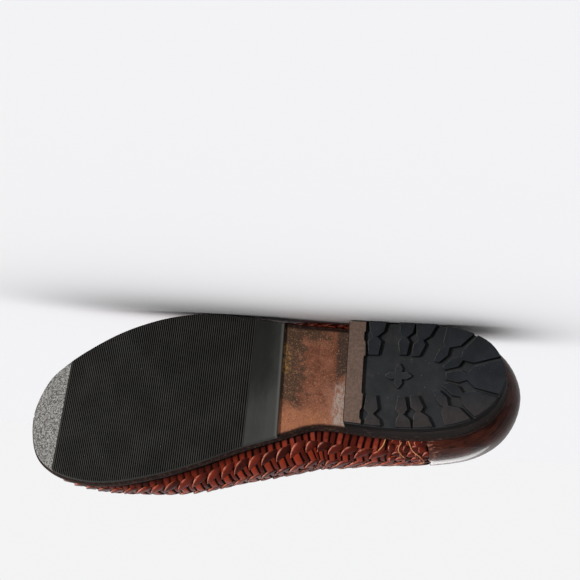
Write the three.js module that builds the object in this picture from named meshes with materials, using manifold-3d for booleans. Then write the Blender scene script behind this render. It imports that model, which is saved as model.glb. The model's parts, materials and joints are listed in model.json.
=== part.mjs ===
// Woven slip-on shoe for a left foot, lying on its outer side with the sole facing the front.
// It is worked out standing: x runs from the heel to the toe, y to the outer side, z up from the floor.
import * as THREE from 'three';
import { ConvexHull } from 'three/addons/math/ConvexHull.js';
import { mergeVertices } from 'three/addons/utils/BufferGeometryUtils.js';
import Module from 'manifold-3d';

const wasm = await Module();
wasm.setup();

// Driving dimensions, in millimetres.
const LENGTH = 304.6; // tread, heel back to toe tip
const BALL_WIDTH = 106; // tread, widest part
const HEEL_HEIGHT = 20.5; // floor to outsole at the heel back
const INSTEP_HEIGHT = 76; // floor to the throat of the vamp
const BACK_HEIGHT = 89; // floor to the collar at the heel back
const FIT_GAP = 0.3; // between pieces that meet

const WALL = 2.0; // upper, lining to the bottom of the weave
const FEATHER_INSET = 1.0; // upper's lower edge, inside the tread outline
const OUTSOLE_THICK = 4.6;
const INSOLE_THICK = 2.4;
const INSOLE_INSET = 4.2;
const HALF_SOLE_THICK = 3.0;
const HALF_SOLE_START = 139; // on the axis
const BAR_SLANT = 0.9; // its rear edge lies this much further forward at the outer side
const BAR_FRONT = 158; // front edge of the plain bar
const BAR_DROP = 0.5; // the bar is this much thinner than the ribbed field
const TOE_BEVEL_START = 283;
const TOE_BEVEL_LEFT = 0.9; // rubber left at the toe tip

const HEEL_BREAST = 97;
const TOP_PIECE_HIGH = 8;
const LUG_HIGH = 3.2;
const LUG_ROOT = 0.4; // how far a lug runs into the top piece
const HEEL_BAR_REAR = 86.7;
const PLUS_CENTRE = 64.6;
const PLUS_ARM = 8;
const PLUS_HIGH = 2.2;

const COUNTER_THICK = 1.2;
const COUNTER_FOOT = 4.5; // up the wall from the feather line
const COUNTER_TOP_MARGIN = 7; // left bare under the collar edge

const FIRST_TWINE = 10.5; // up the wall from the feather line
const SECOND_TWINE = 25;
const TWINE_ROWS = 6;
const TWINE_HALF = 2.8; // half the height of a twined row
const TWINE_RAISE = 1.5;
const TWINE_DIP = 0.55; // every other strip of a twined row lies lower
const STRIP_RAISE = 1.0;
const SUNK_STRIP_RAISE = 0.05;
const STRIP_CROWDED = 2.6; // strips closer together than this lose their relief
const COLLAR_ROLL = 0.9; // raise of the rolled edge round the opening
const COLLAR_ROLL_HIGH = 5;
const RIDGE_STRIP = 1.7; // last row before the ridge
const WEAVE_COLUMNS = 64; // on each side, from the counter to the toe
const COUNTER_COLUMNS = 11;
const COUNTER_SHARE = 0.182; // of the way from heel back to toe tip
const THROAT_SHARE = 0.53;

// Sections of the last: shares of the length and of the ball width, measured from the heel's own axis.
// The wall swells past the feather line by lateralSwell and medialSwell, at bulgeHigh over the seat.
const HEEL_END = { along: 0, across: 0.019 };
const TOE_END = { along: 1, across: -0.264 };
const SECTIONS = [
  { along: 0.023, lateral: 0.189, medial: 0.151, lateralSwell: 0.086, medialSwell: 0.086, bulgeHigh: 18 },
  { along: 0.072, lateral: 0.278, medial: 0.255, lateralSwell: 0.088, medialSwell: 0.092, bulgeHigh: 18 },
  { along: 0.148, lateral: 0.323, medial: 0.305, lateralSwell: 0.084, medialSwell: 0.096, bulgeHigh: 17 },
  { along: 0.246, lateral: 0.332, medial: 0.306, lateralSwell: 0.088, medialSwell: 0.116, bulgeHigh: 17 },
  { along: 0.338, lateral: 0.337, medial: 0.283, lateralSwell: 0.105, medialSwell: 0.168, bulgeHigh: 18 },
  { along: 0.387, lateral: 0.334, medial: 0.292, lateralSwell: 0.106, medialSwell: 0.176, bulgeHigh: 18 },
  { along: 0.446, lateral: 0.332, medial: 0.363, lateralSwell: 0.084, medialSwell: 0.156, bulgeHigh: 18 },
  { along: 0.525, lateral: 0.353, medial: 0.459, lateralSwell: 0.054, medialSwell: 0.120, bulgeHigh: 17 },
  { along: 0.614, lateral: 0.377, medial: 0.583, lateralSwell: 0.028, medialSwell: 0.074, bulgeHigh: 15 },
  { along: 0.696, lateral: 0.358, medial: 0.662, lateralSwell: 0.016, medialSwell: 0.032, bulgeHigh: 14 },
  { along: 0.788, lateral: 0.287, medial: 0.696, lateralSwell: 0.012, medialSwell: 0.014, bulgeHigh: 13 },
  { along: 0.860, lateral: 0.194, medial: 0.678, lateralSwell: 0.012, medialSwell: 0.012, bulgeHigh: 12.5 },
  { along: 0.932, lateral: 0.066, medial: 0.615, lateralSwell: 0.012, medialSwell: 0.012, bulgeHigh: 12 },
  { along: 0.978, lateral: -0.053, medial: 0.503, lateralSwell: 0.012, medialSwell: 0.012, bulgeHigh: 12 },
];

// Side view of the outsole's underside, as a share of the heel height: heel seat, arch, ball, toe spring.
const UNDERSIDE = [
  { along: 0, high: 1 },
  { along: 0.11, high: 0.956 },
  { along: 0.22, high: 0.9 },
  { along: 0.318, high: 0.81 },
  { along: 0.38, high: 0.6 },
  { along: 0.452, high: 0.33 },
  { along: 0.53, high: 0.2 },
  { along: 0.605, high: 0.161 },
  { along: 0.7, high: 0.161 },
  { along: 0.8, high: 0.24 },
  { along: 0.9, high: 0.42 },
  { along: 1, high: 0.66 },
];

// Edge of the opening from the heel back to the throat. The lean is from upright, in degrees.
const COLLAR = [
  { along: 0, lateral: 0.01, medial: -0.01, high: BACK_HEIGHT, lean: 4 },
  { along: 0.009, lateral: 0.105, medial: 0.09, high: BACK_HEIGHT - 0.6, lean: 4 },
  { along: 0.038, lateral: 0.19, medial: 0.18, high: BACK_HEIGHT - 2.6, lean: 5 },
  { along: 0.125, lateral: 0.27, medial: 0.27, high: BACK_HEIGHT - 11, lean: 10 },
  { along: 0.26, lateral: 0.31, medial: 0.33, high: INSTEP_HEIGHT - 7, lean: 18 },
  { along: 0.39, lateral: 0.225, medial: 0.33, high: INSTEP_HEIGHT - 6, lean: 38 },
  { along: 0.48, lateral: 0.07, medial: 0.235, high: INSTEP_HEIGHT - 1.5, lean: 68 },
  { along: 0.517, lateral: -0.08, medial: 0.08, high: INSTEP_HEIGHT, lean: 86 },
];

// Ridge of the vamp, from the throat to where the strips meet over the toes.
const RIDGE = [
  { along: 0.517, across: -0.08, high: INSTEP_HEIGHT },
  { along: 0.61, across: -0.135, high: INSTEP_HEIGHT - 10.5 },
  { along: 0.7, across: -0.19, high: INSTEP_HEIGHT - 19.5 },
  { along: 0.79, across: -0.24, high: INSTEP_HEIGHT - 27.5 },
  { along: 0.86, across: -0.27, high: INSTEP_HEIGHT - 33 },
];

// Edge of the outsole from its underside up: how far it stands past the tread outline.
const OUTSOLE_EDGE = [
  { high: 0, out: 0.9 },
  { high: 2.2, out: 2.0 },
  { high: OUTSOLE_THICK, out: 1.8 },
];
const HALF_SOLE_EDGE = { under: 0, top: 0.6 };
const HEEL_EDGE = { tread: 0, lugRoot: 0.2, topPieceTop: 0.5, stackFoot: 0.6, stackTop: 1.5 };

// Lugs come in pairs, one each side of the heel's axis, each with a narrow neck between an inner and an
// outer half. Along is from the heel back, across from the axis; outlines run past the rim, which cuts them.
const SIDE_LUGS = {
  front: [
    { across: 13.3, front: 83.6, rear: 77.6 },
    { across: 22.1, front: 84.6, rear: 76 },
    { across: 25.3, front: 81.7, rear: 78.9 },
    { across: 29, front: 83.6, rear: 74.8 },
    { across: 38, front: 84.6, rear: 72.6 },
  ],
  middle: [
    { across: 13.6, front: 64.4, rear: 60 },
    { across: 22, front: 65.5, rear: 58.3 },
    { across: 25.1, front: 63.1, rear: 60.4 },
    { across: 28.2, front: 64.7, rear: 56.7 },
    { across: 38, front: 65.2, rear: 54.4 },
  ],
  rear: [
    { across: 12.9, front: 56.7, rear: 52.1 },
    { across: 20.3, front: 56.2, rear: 48.6 },
    { across: 23.2, front: 52.9, rear: 50.1 },
    { across: 26, front: 54.3, rear: 46 },
    { across: 38, front: 54.6, rear: 39.9 },
  ],
};
const ROUND_LUGS = {
  side: [
    { along: 42.9, across: 10 },
    { along: 42.3, across: 12.7 },
    { along: 39.9, across: 17.3 },
    { along: 36.8, across: 19.7 },
    { along: 37.7, across: 22.4 },
    { along: 35, across: 36 },
    { along: 14, across: 33 },
    { along: 27.3, across: 20 },
    { along: 33.8, across: 18.7 },
    { along: 34.9, across: 13.6 },
    { along: 40.1, across: 8.9 },
  ],
  corner: [
    { along: 37.8, across: 6.3 },
    { along: 31.5, across: 12.2 },
    { along: 26.7, across: 13 },
    { along: 25.3, across: 17.7 },
    { along: 12, across: 32 },
    { along: -4, across: 15.3 },
    { along: 19.1, across: 9 },
    { along: 25.5, across: 10.6 },
    { along: 28.2, across: 6.4 },
    { along: 36.5, across: 4.2 },
  ],
  back: [
    { along: 35.7, across: 2.1 },
    { along: 27.8, across: 3.9 },
    { along: 23, across: 2.1 },
    { along: 18.5, across: 6.9 },
    { along: -4, across: 12.9 },
  ],
};
const HEEL_BAR_EDGE = [
  { across: 0, step: 0 },
  { across: 11.8, step: 0 },
  { across: 12.8, step: -1.2 },
  { across: 21.2, step: -0.8 },
  { across: 23.5, step: 0.4 },
  { across: 27.9, step: 0.4 },
  { across: 29.6, step: -0.7 },
  { across: 38, step: -0.8 },
];
const PLUS_MIDDLE = 0.27; // half the width of an arm where it leaves the middle, to its length
const PLUS_ARM_OUTLINE = [
  { out: 0.3, half: PLUS_MIDDLE },
  { out: 0.62, half: 0.3 },
  { out: 1, half: 0.06 },
];

// Smooth curve through one column of a table, with no overshoot between its rows.
function read(table, column, along) {
  const last = table.length - 1;
  if (along <= table[0].along) return table[0][column];
  if (along >= table[last].along) return table[last][column];
  const slope = (i) => (table[i + 1][column] - table[i][column]) / (table[i + 1].along - table[i].along);
  const lean = (i) => {
    if (i === 0) return slope(0);
    if (i === last) return slope(last - 1);
    const before = slope(i - 1);
    const after = slope(i);
    return before * after <= 0 ? 0 : (2 * before * after) / (before + after);
  };
  const i = table.findIndex((row) => row.along > along) - 1;
  const width = table[i + 1].along - table[i].along;
  const u = (along - table[i].along) / width;
  const rise = (3 - 2 * u) * u * u;
  const easeIn = (1 - u) * (1 - u) * u;
  const easeOut = (u - 1) * u * u;
  const ends = table[i][column] * (1 - rise) + table[i + 1][column] * rise;
  return ends + width * (easeIn * lean(i) + easeOut * lean(i + 1));
}

const underside = (x) => HEEL_HEIGHT * read(UNDERSIDE, 'high', x / LENGTH);
const seat = (x) => underside(x) + OUTSOLE_THICK;
const planPoint = (along, across) => new THREE.Vector3(along * LENGTH, across * BALL_WIDTH, 0);

// Tread outline: a closed curve from the heel back along the outer side, round the toe and back.
const outline = new THREE.CatmullRomCurve3([
  planPoint(HEEL_END.along, HEEL_END.across),
  ...SECTIONS.map((row) => planPoint(row.along, row.lateral)),
  planPoint(TOE_END.along, TOE_END.across),
  ...SECTIONS.map((row) => planPoint(row.along, -row.medial)).reverse(),
], true, 'centripetal');
outline.arcLengthDivisions = 1200;
const TOE_AT = [...Array(601).keys()].map((i) => 0.4 + i / 3000)
  .reduce((best, u) => (outline.getPointAt(u).x > outline.getPointAt(best).x ? u : best), 0.5);

const LATERAL = 1;
const MEDIAL = -1;

// Position on the outline of a share of the way from heel back (0) to toe tip (1), along one side.
function outlineAt(side, share) {
  return side === LATERAL ? share * TOE_AT : 1 - share * (1 - TOE_AT);
}

// Outward direction in plan.
function outwardAt(u) {
  const tangent = outline.getTangentAt(THREE.MathUtils.euclideanModulo(u, 1));
  return new THREE.Vector3(-tangent.y, tangent.x, 0).normalize();
}

// Share at which the outline crosses a station, by halving.
function shareAtStation(side, x) {
  let low = 0;
  let high = 1;
  for (let i = 0; i < 40; i += 1) {
    const middle = (low + high) / 2;
    if (outline.getPointAt(THREE.MathUtils.euclideanModulo(outlineAt(side, middle), 1)).x < x) low = middle;
    else high = middle;
  }
  return (low + high) / 2;
}

// Outline point at a station, moved outward in plan.
function edgePoint(side, x, out) {
  const u = THREE.MathUtils.euclideanModulo(outlineAt(side, shareAtStation(side, x)), 1);
  return outline.getPointAt(u).addScaledVector(outwardAt(u), out);
}

// A closed mesh from rings of points that have equal counts, each ring joined to the next, closed by
// strips across the first and the last ring.
function ringSolid(rings) {
  const corners = [];
  const put = (...points) => points.forEach((p) => corners.push(p.x, p.y, p.z));
  const count = rings[0].length;
  for (let r = 0; r + 1 < rings.length; r += 1) {
    for (let i = 0; i < count; i += 1) {
      const j = (i + 1) % count;
      put(rings[r][i], rings[r][j], rings[r + 1][j]);
      put(rings[r][i], rings[r + 1][j], rings[r + 1][i]);
    }
  }
  const first = rings[0];
  const last = rings[rings.length - 1];
  for (let i = 0; i + 1 < count / 2; i += 1) {
    const j = count - 1 - i;
    put(first[i], first[j], first[i + 1]);
    put(first[i + 1], first[j], first[j - 1]);
    put(last[i], last[i + 1], last[j]);
    put(last[i + 1], last[j - 1], last[j]);
  }
  return closedGeometry(corners);
}

// Triangle corners to an indexed geometry that faces outward.
function closedGeometry(corners) {
  const loose = new THREE.BufferGeometry();
  loose.setAttribute('position', new THREE.Float32BufferAttribute(corners, 3));
  const geometry = mergeVertices(loose, 1e-3);
  const index = [...geometry.index.array];
  const kept = [];
  for (let t = 0; t < index.length; t += 3) {
    const [a, b, c] = index.slice(t, t + 3);
    if (a !== b && b !== c && c !== a) kept.push(a, b, c);
  }
  geometry.setIndex(kept);
  if (signedVolume(geometry) < 0) {
    for (let t = 0; t < kept.length; t += 3) [kept[t], kept[t + 1]] = [kept[t + 1], kept[t]];
    geometry.setIndex(kept);
  }
  return geometry;
}

function signedVolume(geometry) {
  const place = geometry.attributes.position;
  const corner = (i) => new THREE.Vector3().fromBufferAttribute(place, geometry.index.getX(i));
  let volume = 0;
  for (let t = 0; t < geometry.index.count; t += 3) {
    volume += corner(t).dot(corner(t + 1).cross(corner(t + 2))) / 6;
  }
  return volume;
}

function toSolid(geometry) {
  const merged = mergeVertices(new THREE.BufferGeometry()
    .setAttribute('position', geometry.getAttribute('position'))
    .setIndex(geometry.index), 1e-4);
  return new wasm.Manifold(new wasm.Mesh({
    numProp: 3,
    vertProperties: merged.attributes.position.array,
    triVerts: new Uint32Array(merged.index.array),
  }));
}

function fromSolid(solid) {
  const mesh = solid.getMesh();
  const geometry = new THREE.BufferGeometry();
  geometry.setAttribute('position', new THREE.Float32BufferAttribute(mesh.vertProperties, 3));
  geometry.setIndex([...mesh.triVerts]);
  return geometry;
}

// Stations from one x to another, closer together at a rounded end.
function stations(from, to, count, roundFrom, roundTo) {
  return [...Array(count + 1).keys()].map((i) => {
    const u = i / count;
    if (roundFrom && roundTo) return from + (to - from) * (1 - Math.cos(Math.PI * u)) / 2;
    if (roundFrom) return from + (to - from) * u * u;
    if (roundTo) return from + (to - from) * (2 * u - u * u);
    return from + (to - from) * u;
  });
}

// Ring round the outline over the given stations: out along the outer side, back along the inner side.
// A slant moves the stations forward on the outer side and back on the inner side.
function stationRing(places, out, heightAt, slant = () => 0) {
  const at = (side) => (x) => {
    const p = edgePoint(side, x + side * slant(x), out);
    return p.setZ(heightAt(p.x));
  };
  return [...places.map(at(LATERAL)), ...[...places].reverse().map(at(MEDIAL))];
}

const TIP_SHORT = 0.05; // the first and last stations stop this far from the ends

function outsoleGeometry() {
  const places = stations(TIP_SHORT, LENGTH - TIP_SHORT, 44, true, true);
  return ringSolid(OUTSOLE_EDGE.map((row) => stationRing(places, row.out, (x) => underside(x) + row.high)));
}

function insoleGeometry() {
  const places = stations(TIP_SHORT, LENGTH - TIP_SHORT, 34, true, true);
  const low = (x) => seat(x) + FIT_GAP;
  const high = (x) => low(x) + INSOLE_THICK;
  return ringSolid([
    stationRing(places, -INSOLE_INSET, low),
    stationRing(places, -INSOLE_INSET, high),
  ]);
}

// Rubber left under the outsole: a thinner plain bar, the ribbed field and the ground-off toe.
function halfSoleThickness(x) {
  if (x < BAR_FRONT + 0.1) return HALF_SOLE_THICK - BAR_DROP;
  if (x <= TOE_BEVEL_START) return HALF_SOLE_THICK;
  const ground = Math.min((x - TOE_BEVEL_START) / (LENGTH - TOE_BEVEL_START), 1);
  return HALF_SOLE_THICK - (HALF_SOLE_THICK - TOE_BEVEL_LEFT) * ground;
}

function halfSoleGeometry() {
  const places = [
    ...stations(HALF_SOLE_START, BAR_FRONT, 4, false, false),
    ...stations(BAR_FRONT + 0.2, TOE_BEVEL_START, 16, false, false),
    ...stations(TOE_BEVEL_START + 1, LENGTH - TIP_SHORT, 10, false, true),
  ];
  const top = (x) => underside(x) - FIT_GAP;
  const bottom = (x) => top(x) - halfSoleThickness(x);
  const slant = (x) => BAR_SLANT * (1 - THREE.MathUtils.smoothstep(x, HALF_SOLE_START, BAR_FRONT));
  return ringSolid([
    stationRing(places, HALF_SOLE_EDGE.under, bottom, slant),
    stationRing(places, HALF_SOLE_EDGE.top, top, slant),
  ]);
}

const heelStations = () => stations(TIP_SHORT, HEEL_BREAST, 20, true, false);

function heelStackGeometry() {
  return ringSolid([
    stationRing(heelStations(), HEEL_EDGE.stackFoot, () => TOP_PIECE_HIGH + FIT_GAP),
    stationRing(heelStations(), HEEL_EDGE.stackTop, (x) => underside(x) - FIT_GAP),
  ]);
}

// Upright prism on a plan outline given as [along, across] pairs.
function prism(pairs, from, to) {
  const shape = new THREE.Shape(pairs.map(([x, y]) => new THREE.Vector2(x, y)));
  const geometry = new THREE.ExtrudeGeometry(shape, { depth: to - from, bevelEnabled: false });
  geometry.deleteAttribute('normal').deleteAttribute('uv').translate(0, 0, from);
  return toSolid(mergeVertices(geometry, 1e-4));
}

const mirrored = (pairs) => pairs.map(([x, y]) => [x, -y]).reverse();

function heelTopPieceGeometry() {
  const base = toSolid(ringSolid([
    stationRing(heelStations(), HEEL_EDGE.lugRoot, () => LUG_HIGH),
    stationRing(heelStations(), HEEL_EDGE.topPieceTop, () => TOP_PIECE_HIGH),
  ]));
  const tread = toSolid(ringSolid([
    stationRing(heelStations(), HEEL_EDGE.tread, () => 0),
    stationRing(heelStations(), HEEL_EDGE.lugRoot, () => LUG_HIGH + LUG_ROOT),
  ]));
  const sideLugs = Object.values(SIDE_LUGS).map((rows) => [
    ...rows.map((row) => [row.front, row.across]),
    ...[...rows].reverse().map((row) => [row.rear, row.across]),
  ]);
  const roundLug = (rows) => rows.map((row) => [row.along, row.across]);
  const back = [...roundLug(ROUND_LUGS.back), ...mirrored(roundLug(ROUND_LUGS.back))];
  const pairsOf = (pairs) => [pairs, mirrored(pairs)];
  const barEdge = HEEL_BAR_EDGE.map((row) => [HEEL_BAR_REAR + row.step, row.across]);
  const barHalf = [...barEdge, [HEEL_BREAST + 3, 38], [HEEL_BREAST + 3, 0]];
  const bar = [...barHalf.slice(1, -1), ...mirrored(barHalf.slice(1, -1))];
  const outlines = [...sideLugs, roundLug(ROUND_LUGS.side), roundLug(ROUND_LUGS.corner)].flatMap(pairsOf);
  const lugs = [...outlines, back, bar]
    .map((pairs) => prism(pairs, -1, LUG_HIGH + 2))
    .reduce((all, lug) => all.add(lug));
  const arm = PLUS_ARM_OUTLINE.map((row) => [row.out * PLUS_ARM, row.half * PLUS_ARM]);
  const middle = PLUS_MIDDLE * PLUS_ARM;
  const armOutline = [[0, middle], ...arm, ...mirrored(arm), [0, -middle]];
  const plus = [0, 1, 2, 3].map((turn) => {
    const around = new THREE.Vector2();
    const turned = armOutline.map(([x, y]) => new THREE.Vector2(x, y).rotateAround(around, turn * Math.PI / 2));
    return prism(turned.map((p) => [p.x + PLUS_CENTRE, p.y]), LUG_HIGH - PLUS_HIGH, LUG_HIGH + LUG_ROOT);
  }).reduce((all, one) => all.add(one));
  return fromSolid(base.add(lugs.intersect(tread)).add(plus));
}

// Edge of the opening and the ridge of the vamp as curves in space.
const spacePoint = (row, across) => planPoint(row.along, across).setZ(row.high);
const collarCurve = {
  [LATERAL]: new THREE.CatmullRomCurve3(COLLAR.map((row) => spacePoint(row, row.lateral))),
  [MEDIAL]: new THREE.CatmullRomCurve3(COLLAR.map((row) => spacePoint(row, -row.medial))),
};
const ridgeCurve = new THREE.CatmullRomCurve3(RIDGE.map((row) => spacePoint(row, row.across)));
const UP = new THREE.Vector3(0, 0, 1);
const CURVE_STEPS = 16;

// One line up the wall at a share of the way from heel to toe: from the feather line out to the bulge,
// then in to the opening or the ridge. Past either end it runs on along the other side.
function wallLine(side, share) {
  if (share < 0) return wallLine(-side, -share);
  if (share > 1) return wallLine(-side, 2 - share);
  const u = THREE.MathUtils.euclideanModulo(outlineAt(side, share), 1);
  const outward = outwardAt(u);
  const feather = outline.getPointAt(u).addScaledVector(outward, -FEATHER_INSET);
  feather.z = seat(feather.x) + FIT_GAP;
  const along = feather.x / LENGTH;
  const swell = BALL_WIDTH * read(SECTIONS, side === LATERAL ? 'lateralSwell' : 'medialSwell', along);
  const bulge = feather.clone().addScaledVector(outward, swell);
  bulge.z += read(SECTIONS, 'bulgeHigh', along);
  const top = topPoint(side, share);
  const reach = top.point.distanceTo(bulge);
  const leave = topDirection(side, share, top, bulge);
  const fullness = THREE.MathUtils.lerp(0.36, 0.5, THREE.MathUtils.smoothstep(share, 0.3, THROAT_SHARE + 0.08));
  const low = new THREE.CubicBezierCurve3(
    feather,
    feather.clone().addScaledVector(outward, swell * 0.6).addScaledVector(UP, (bulge.z - feather.z) * 0.2),
    bulge.clone().addScaledVector(UP, (feather.z - bulge.z) * 0.5),
    bulge,
  );
  const high = new THREE.CubicBezierCurve3(
    bulge,
    bulge.clone().addScaledVector(UP, (top.point.z - bulge.z) * 0.5),
    top.point.clone().addScaledVector(leave, reach * fullness),
    top.point,
  );
  const points = [...low.getPoints(CURVE_STEPS), ...high.getPoints(2 * CURVE_STEPS).slice(1)];
  const lengths = [0];
  for (let i = 1; i < points.length; i += 1) lengths.push(lengths[i - 1] + points[i].distanceTo(points[i - 1]));
  const length = lengths[lengths.length - 1];
  const at = (distance) => {
    const d = THREE.MathUtils.clamp(distance, 0, length);
    const i = Math.max(1, lengths.findIndex((reached) => reached >= d - 1e-9));
    return points[i - 1].clone().lerp(points[i], (d - lengths[i - 1]) / (lengths[i] - lengths[i - 1]));
  };
  return { side, share, length, at };
}

function topPoint(side, share) {
  if (share <= THROAT_SHARE) {
    const part = share / THROAT_SHARE;
    return { part, point: collarCurve[side].getPointAt(part) };
  }
  const u = (share - THROAT_SHARE) / (1 - THROAT_SHARE);
  const part = 1.6 * u - 0.6 * u * u;
  return { part, point: ridgeCurve.getPointAt(part), tangent: ridgeCurve.getTangentAt(part) };
}

// Direction in which the wall leaves its top edge, downward and outward.
function topDirection(side, share, top, bulge) {
  const outward = bulge.clone().sub(top.point).setZ(0).normalize();
  if (share <= THROAT_SHARE) {
    const lean = THREE.MathUtils.degToRad(read(COLLAR, 'lean', top.point.x / LENGTH));
    return outward.multiplyScalar(Math.sin(lean)).addScaledVector(UP, -Math.cos(lean));
  }
  const forward = top.tangent.clone().setZ(0).normalize();
  const across = new THREE.Vector3(-forward.y, forward.x, 0).multiplyScalar(side);
  const fan = THREE.MathUtils.clamp(outward.dot(forward), -0.3, 1);
  return across.multiplyScalar(Math.sqrt(1 - fan * fan)).addScaledVector(top.tangent, fan);
}

// Point of the wall at a distance up a line, raised outward from its base surface.
const NEIGHBOUR = 0.004;
const NORMAL_SHORT = 3.5; // normals at the ridge are taken this far below it

function raisedPoint(line, distance, raise) {
  line.before ??= wallLine(line.side, line.share - NEIGHBOUR);
  line.after ??= wallLine(line.side, line.share + NEIGHBOUR);
  const from = Math.min(distance, line.length - NORMAL_SHORT);
  const part = from / line.length;
  const upward = line.at(from + 1.5).sub(line.at(from - 1.5));
  const onward = line.after.at(part * line.after.length).sub(line.before.at(part * line.before.length));
  const normal = upward.cross(onward).normalize().multiplyScalar(line.side);
  return line.at(distance).addScaledVector(normal, raise);
}

// Distance between strips at a part of the way up a line.
function stripSpacing(line, part) {
  const next = wallLine(line.side, Math.min(line.share, 1 - NEIGHBOUR) + NEIGHBOUR);
  const here = line.at(part * line.length);
  return here.distanceTo(next.at(part * next.length)) / NEIGHBOUR * (1 - COUNTER_SHARE) / WEAVE_COLUMNS;
}

// Columns round the wall, from the heel back along the outer side to the toe and back along the inner side.
function wallColumns() {
  const shares = [
    ...stations(0, COUNTER_SHARE, COUNTER_COLUMNS, false, false).slice(0, -1),
    ...stations(COUNTER_SHARE, 1, WEAVE_COLUMNS, false, false),
  ];
  const throat = shares.reduce((best, share) => (
    Math.abs(share - THROAT_SHARE) < Math.abs(best - THROAT_SHARE) ? share : best), 0);
  shares[shares.indexOf(throat)] = THROAT_SHARE;
  const column = (side) => (share, i) => ({ line: wallLine(side, share), share, woven: i > COUNTER_COLUMNS, order: i });
  const lateral = shares.map(column(LATERAL));
  const medial = shares.map(column(MEDIAL)).slice(1, -1).reverse();
  return [...lateral, ...medial];
}

// Rows up one column, with the raise of the weave there.
function wallRows(column) {
  return column.woven ? wovenRows(column) : plainRows(column);
}

const PLAIN_ROWS = 3 * TWINE_ROWS; // as many as the twined rows take

// Under the counter the wall is plain, with rows from the counter's foot to its top.
function plainRows({ line }) {
  return [
    { distance: 0, raise: 0 },
    ...stations(COUNTER_FOOT, line.length - COUNTER_TOP_MARGIN, PLAIN_ROWS - 1, false, false)
      .map((distance) => ({ distance, raise: 0 })),
    { distance: line.length - COLLAR_ROLL_HIGH, raise: COLLAR_ROLL },
    { distance: line.length, raise: COLLAR_ROLL },
  ];
}

// In the weave each twined row has two edges and a middle, and strips between rows stand out in turn.
function wovenRows({ line, share, order }) {
  const topMargin = share <= THROAT_SHARE ? COLLAR_ROLL_HIGH : 0;
  const lastTwine = line.length - topMargin - 2 * TWINE_HALF;
  const spacing = (lastTwine - SECOND_TWINE) / (TWINE_ROWS - 2);
  const half = Math.min(TWINE_HALF, spacing * 0.32);
  const even = order % 2 === 0;
  const strip = (band) => {
    const relief = THREE.MathUtils.smoothstep(stripSpacing(line, band / TWINE_ROWS), 1, STRIP_CROWDED);
    const raise = (band % 2 === 0) === even ? STRIP_RAISE : SUNK_STRIP_RAISE;
    return THREE.MathUtils.lerp(STRIP_RAISE / 2, raise, relief);
  };
  const rows = [{ distance: 0, raise: 0 }];
  for (let i = 0; i < TWINE_ROWS; i += 1) {
    const middle = i === 0 ? FIRST_TWINE : SECOND_TWINE + (i - 1) * spacing;
    rows.push({ distance: middle - half, raise: strip(i) });
    rows.push({ distance: middle, raise: even ? TWINE_RAISE : TWINE_RAISE - TWINE_DIP });
    rows.push({ distance: middle + half, raise: strip(i + 1) });
  }
  const roll = topMargin > 0 ? COLLAR_ROLL : strip(TWINE_ROWS);
  rows.push({ distance: line.length - Math.max(topMargin, RIDGE_STRIP), raise: roll });
  rows.push({ distance: line.length, raise: topMargin > 0 ? COLLAR_ROLL : STRIP_RAISE });
  return rows;
}

const LINING_ROWS = [0, 0.14, 0.34, 0.6, 0.82, 1];

function upperGeometry() {
  const columns = wallColumns();
  const count = columns.length;
  const outer = columns.map((column) => wallRows(column).map((row) => raisedPoint(column.line, row.distance, row.raise)));
  const inner = columns.map(({ line }) => LINING_ROWS.map((part) => raisedPoint(line, part * line.length, -WALL)));
  const top = outer[0].length - 1;
  const liningTop = LINING_ROWS.length - 1;
  const onRidge = (c) => columns[c].share >= THROAT_SHARE;
  for (let c = 1; c < count / 2; c += 1) {
    const twin = count - c;
    if (!onRidge(c)) continue;
    for (const [wall, row] of [[outer, top], [inner, liningTop]]) {
      const middle = wall[c][row].clone().lerp(wall[twin][row], 0.5);
      wall[c][row] = middle;
      wall[twin][row] = middle;
    }
  }
  const corners = [];
  const quad = (a, b, c, d) => [a, b, c, a, c, d].forEach((p) => corners.push(p.x, p.y, p.z));
  for (let c = 0; c < count; c += 1) {
    const next = (c + 1) % count;
    for (let r = 0; r < top; r += 1) quad(outer[c][r], outer[next][r], outer[next][r + 1], outer[c][r + 1]);
    for (let r = 0; r < liningTop; r += 1) quad(inner[c][r], inner[c][r + 1], inner[next][r + 1], inner[next][r]);
    quad(outer[c][0], inner[c][0], inner[next][0], outer[next][0]);
    if (!(onRidge(c) && onRidge(next))) {
      quad(outer[c][top], outer[next][top], inner[next][liningTop], inner[c][liningTop]);
    }
  }
  return closedGeometry(corners);
}

// Overlay round the heel: a shell on the wall's own columns and rows, between two distances from it.
function counterGeometry() {
  const columns = wallColumns();
  const lateral = columns.slice(0, COUNTER_COLUMNS + 1);
  const medial = columns.slice(-COUNTER_COLUMNS);
  const round = [...medial, ...lateral];
  const sheet = (raise) => round.map((column) => wallRows(column).slice(1, PLAIN_ROWS + 1)
    .map((row) => raisedPoint(column.line, row.distance, raise)));
  const under = sheet(FIT_GAP);
  const over = sheet(FIT_GAP + COUNTER_THICK);
  const corners = [];
  const quad = (a, b, c, d) => [a, b, c, a, c, d].forEach((p) => corners.push(p.x, p.y, p.z));
  const lastColumn = round.length - 1;
  const lastRow = PLAIN_ROWS - 1;
  for (let c = 0; c < lastColumn; c += 1) {
    for (let r = 0; r < lastRow; r += 1) {
      quad(over[c][r], over[c + 1][r], over[c + 1][r + 1], over[c][r + 1]);
      quad(under[c][r], under[c][r + 1], under[c + 1][r + 1], under[c + 1][r]);
    }
    quad(over[c][0], under[c][0], under[c + 1][0], over[c + 1][0]);
    quad(over[c][lastRow], over[c + 1][lastRow], under[c + 1][lastRow], under[c][lastRow]);
  }
  for (let r = 0; r < lastRow; r += 1) {
    quad(over[0][r], over[0][r + 1], under[0][r + 1], under[0][r]);
    quad(over[lastColumn][r], under[lastColumn][r], under[lastColumn][r + 1], over[lastColumn][r + 1]);
  }
  return closedGeometry(corners);
}

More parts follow.
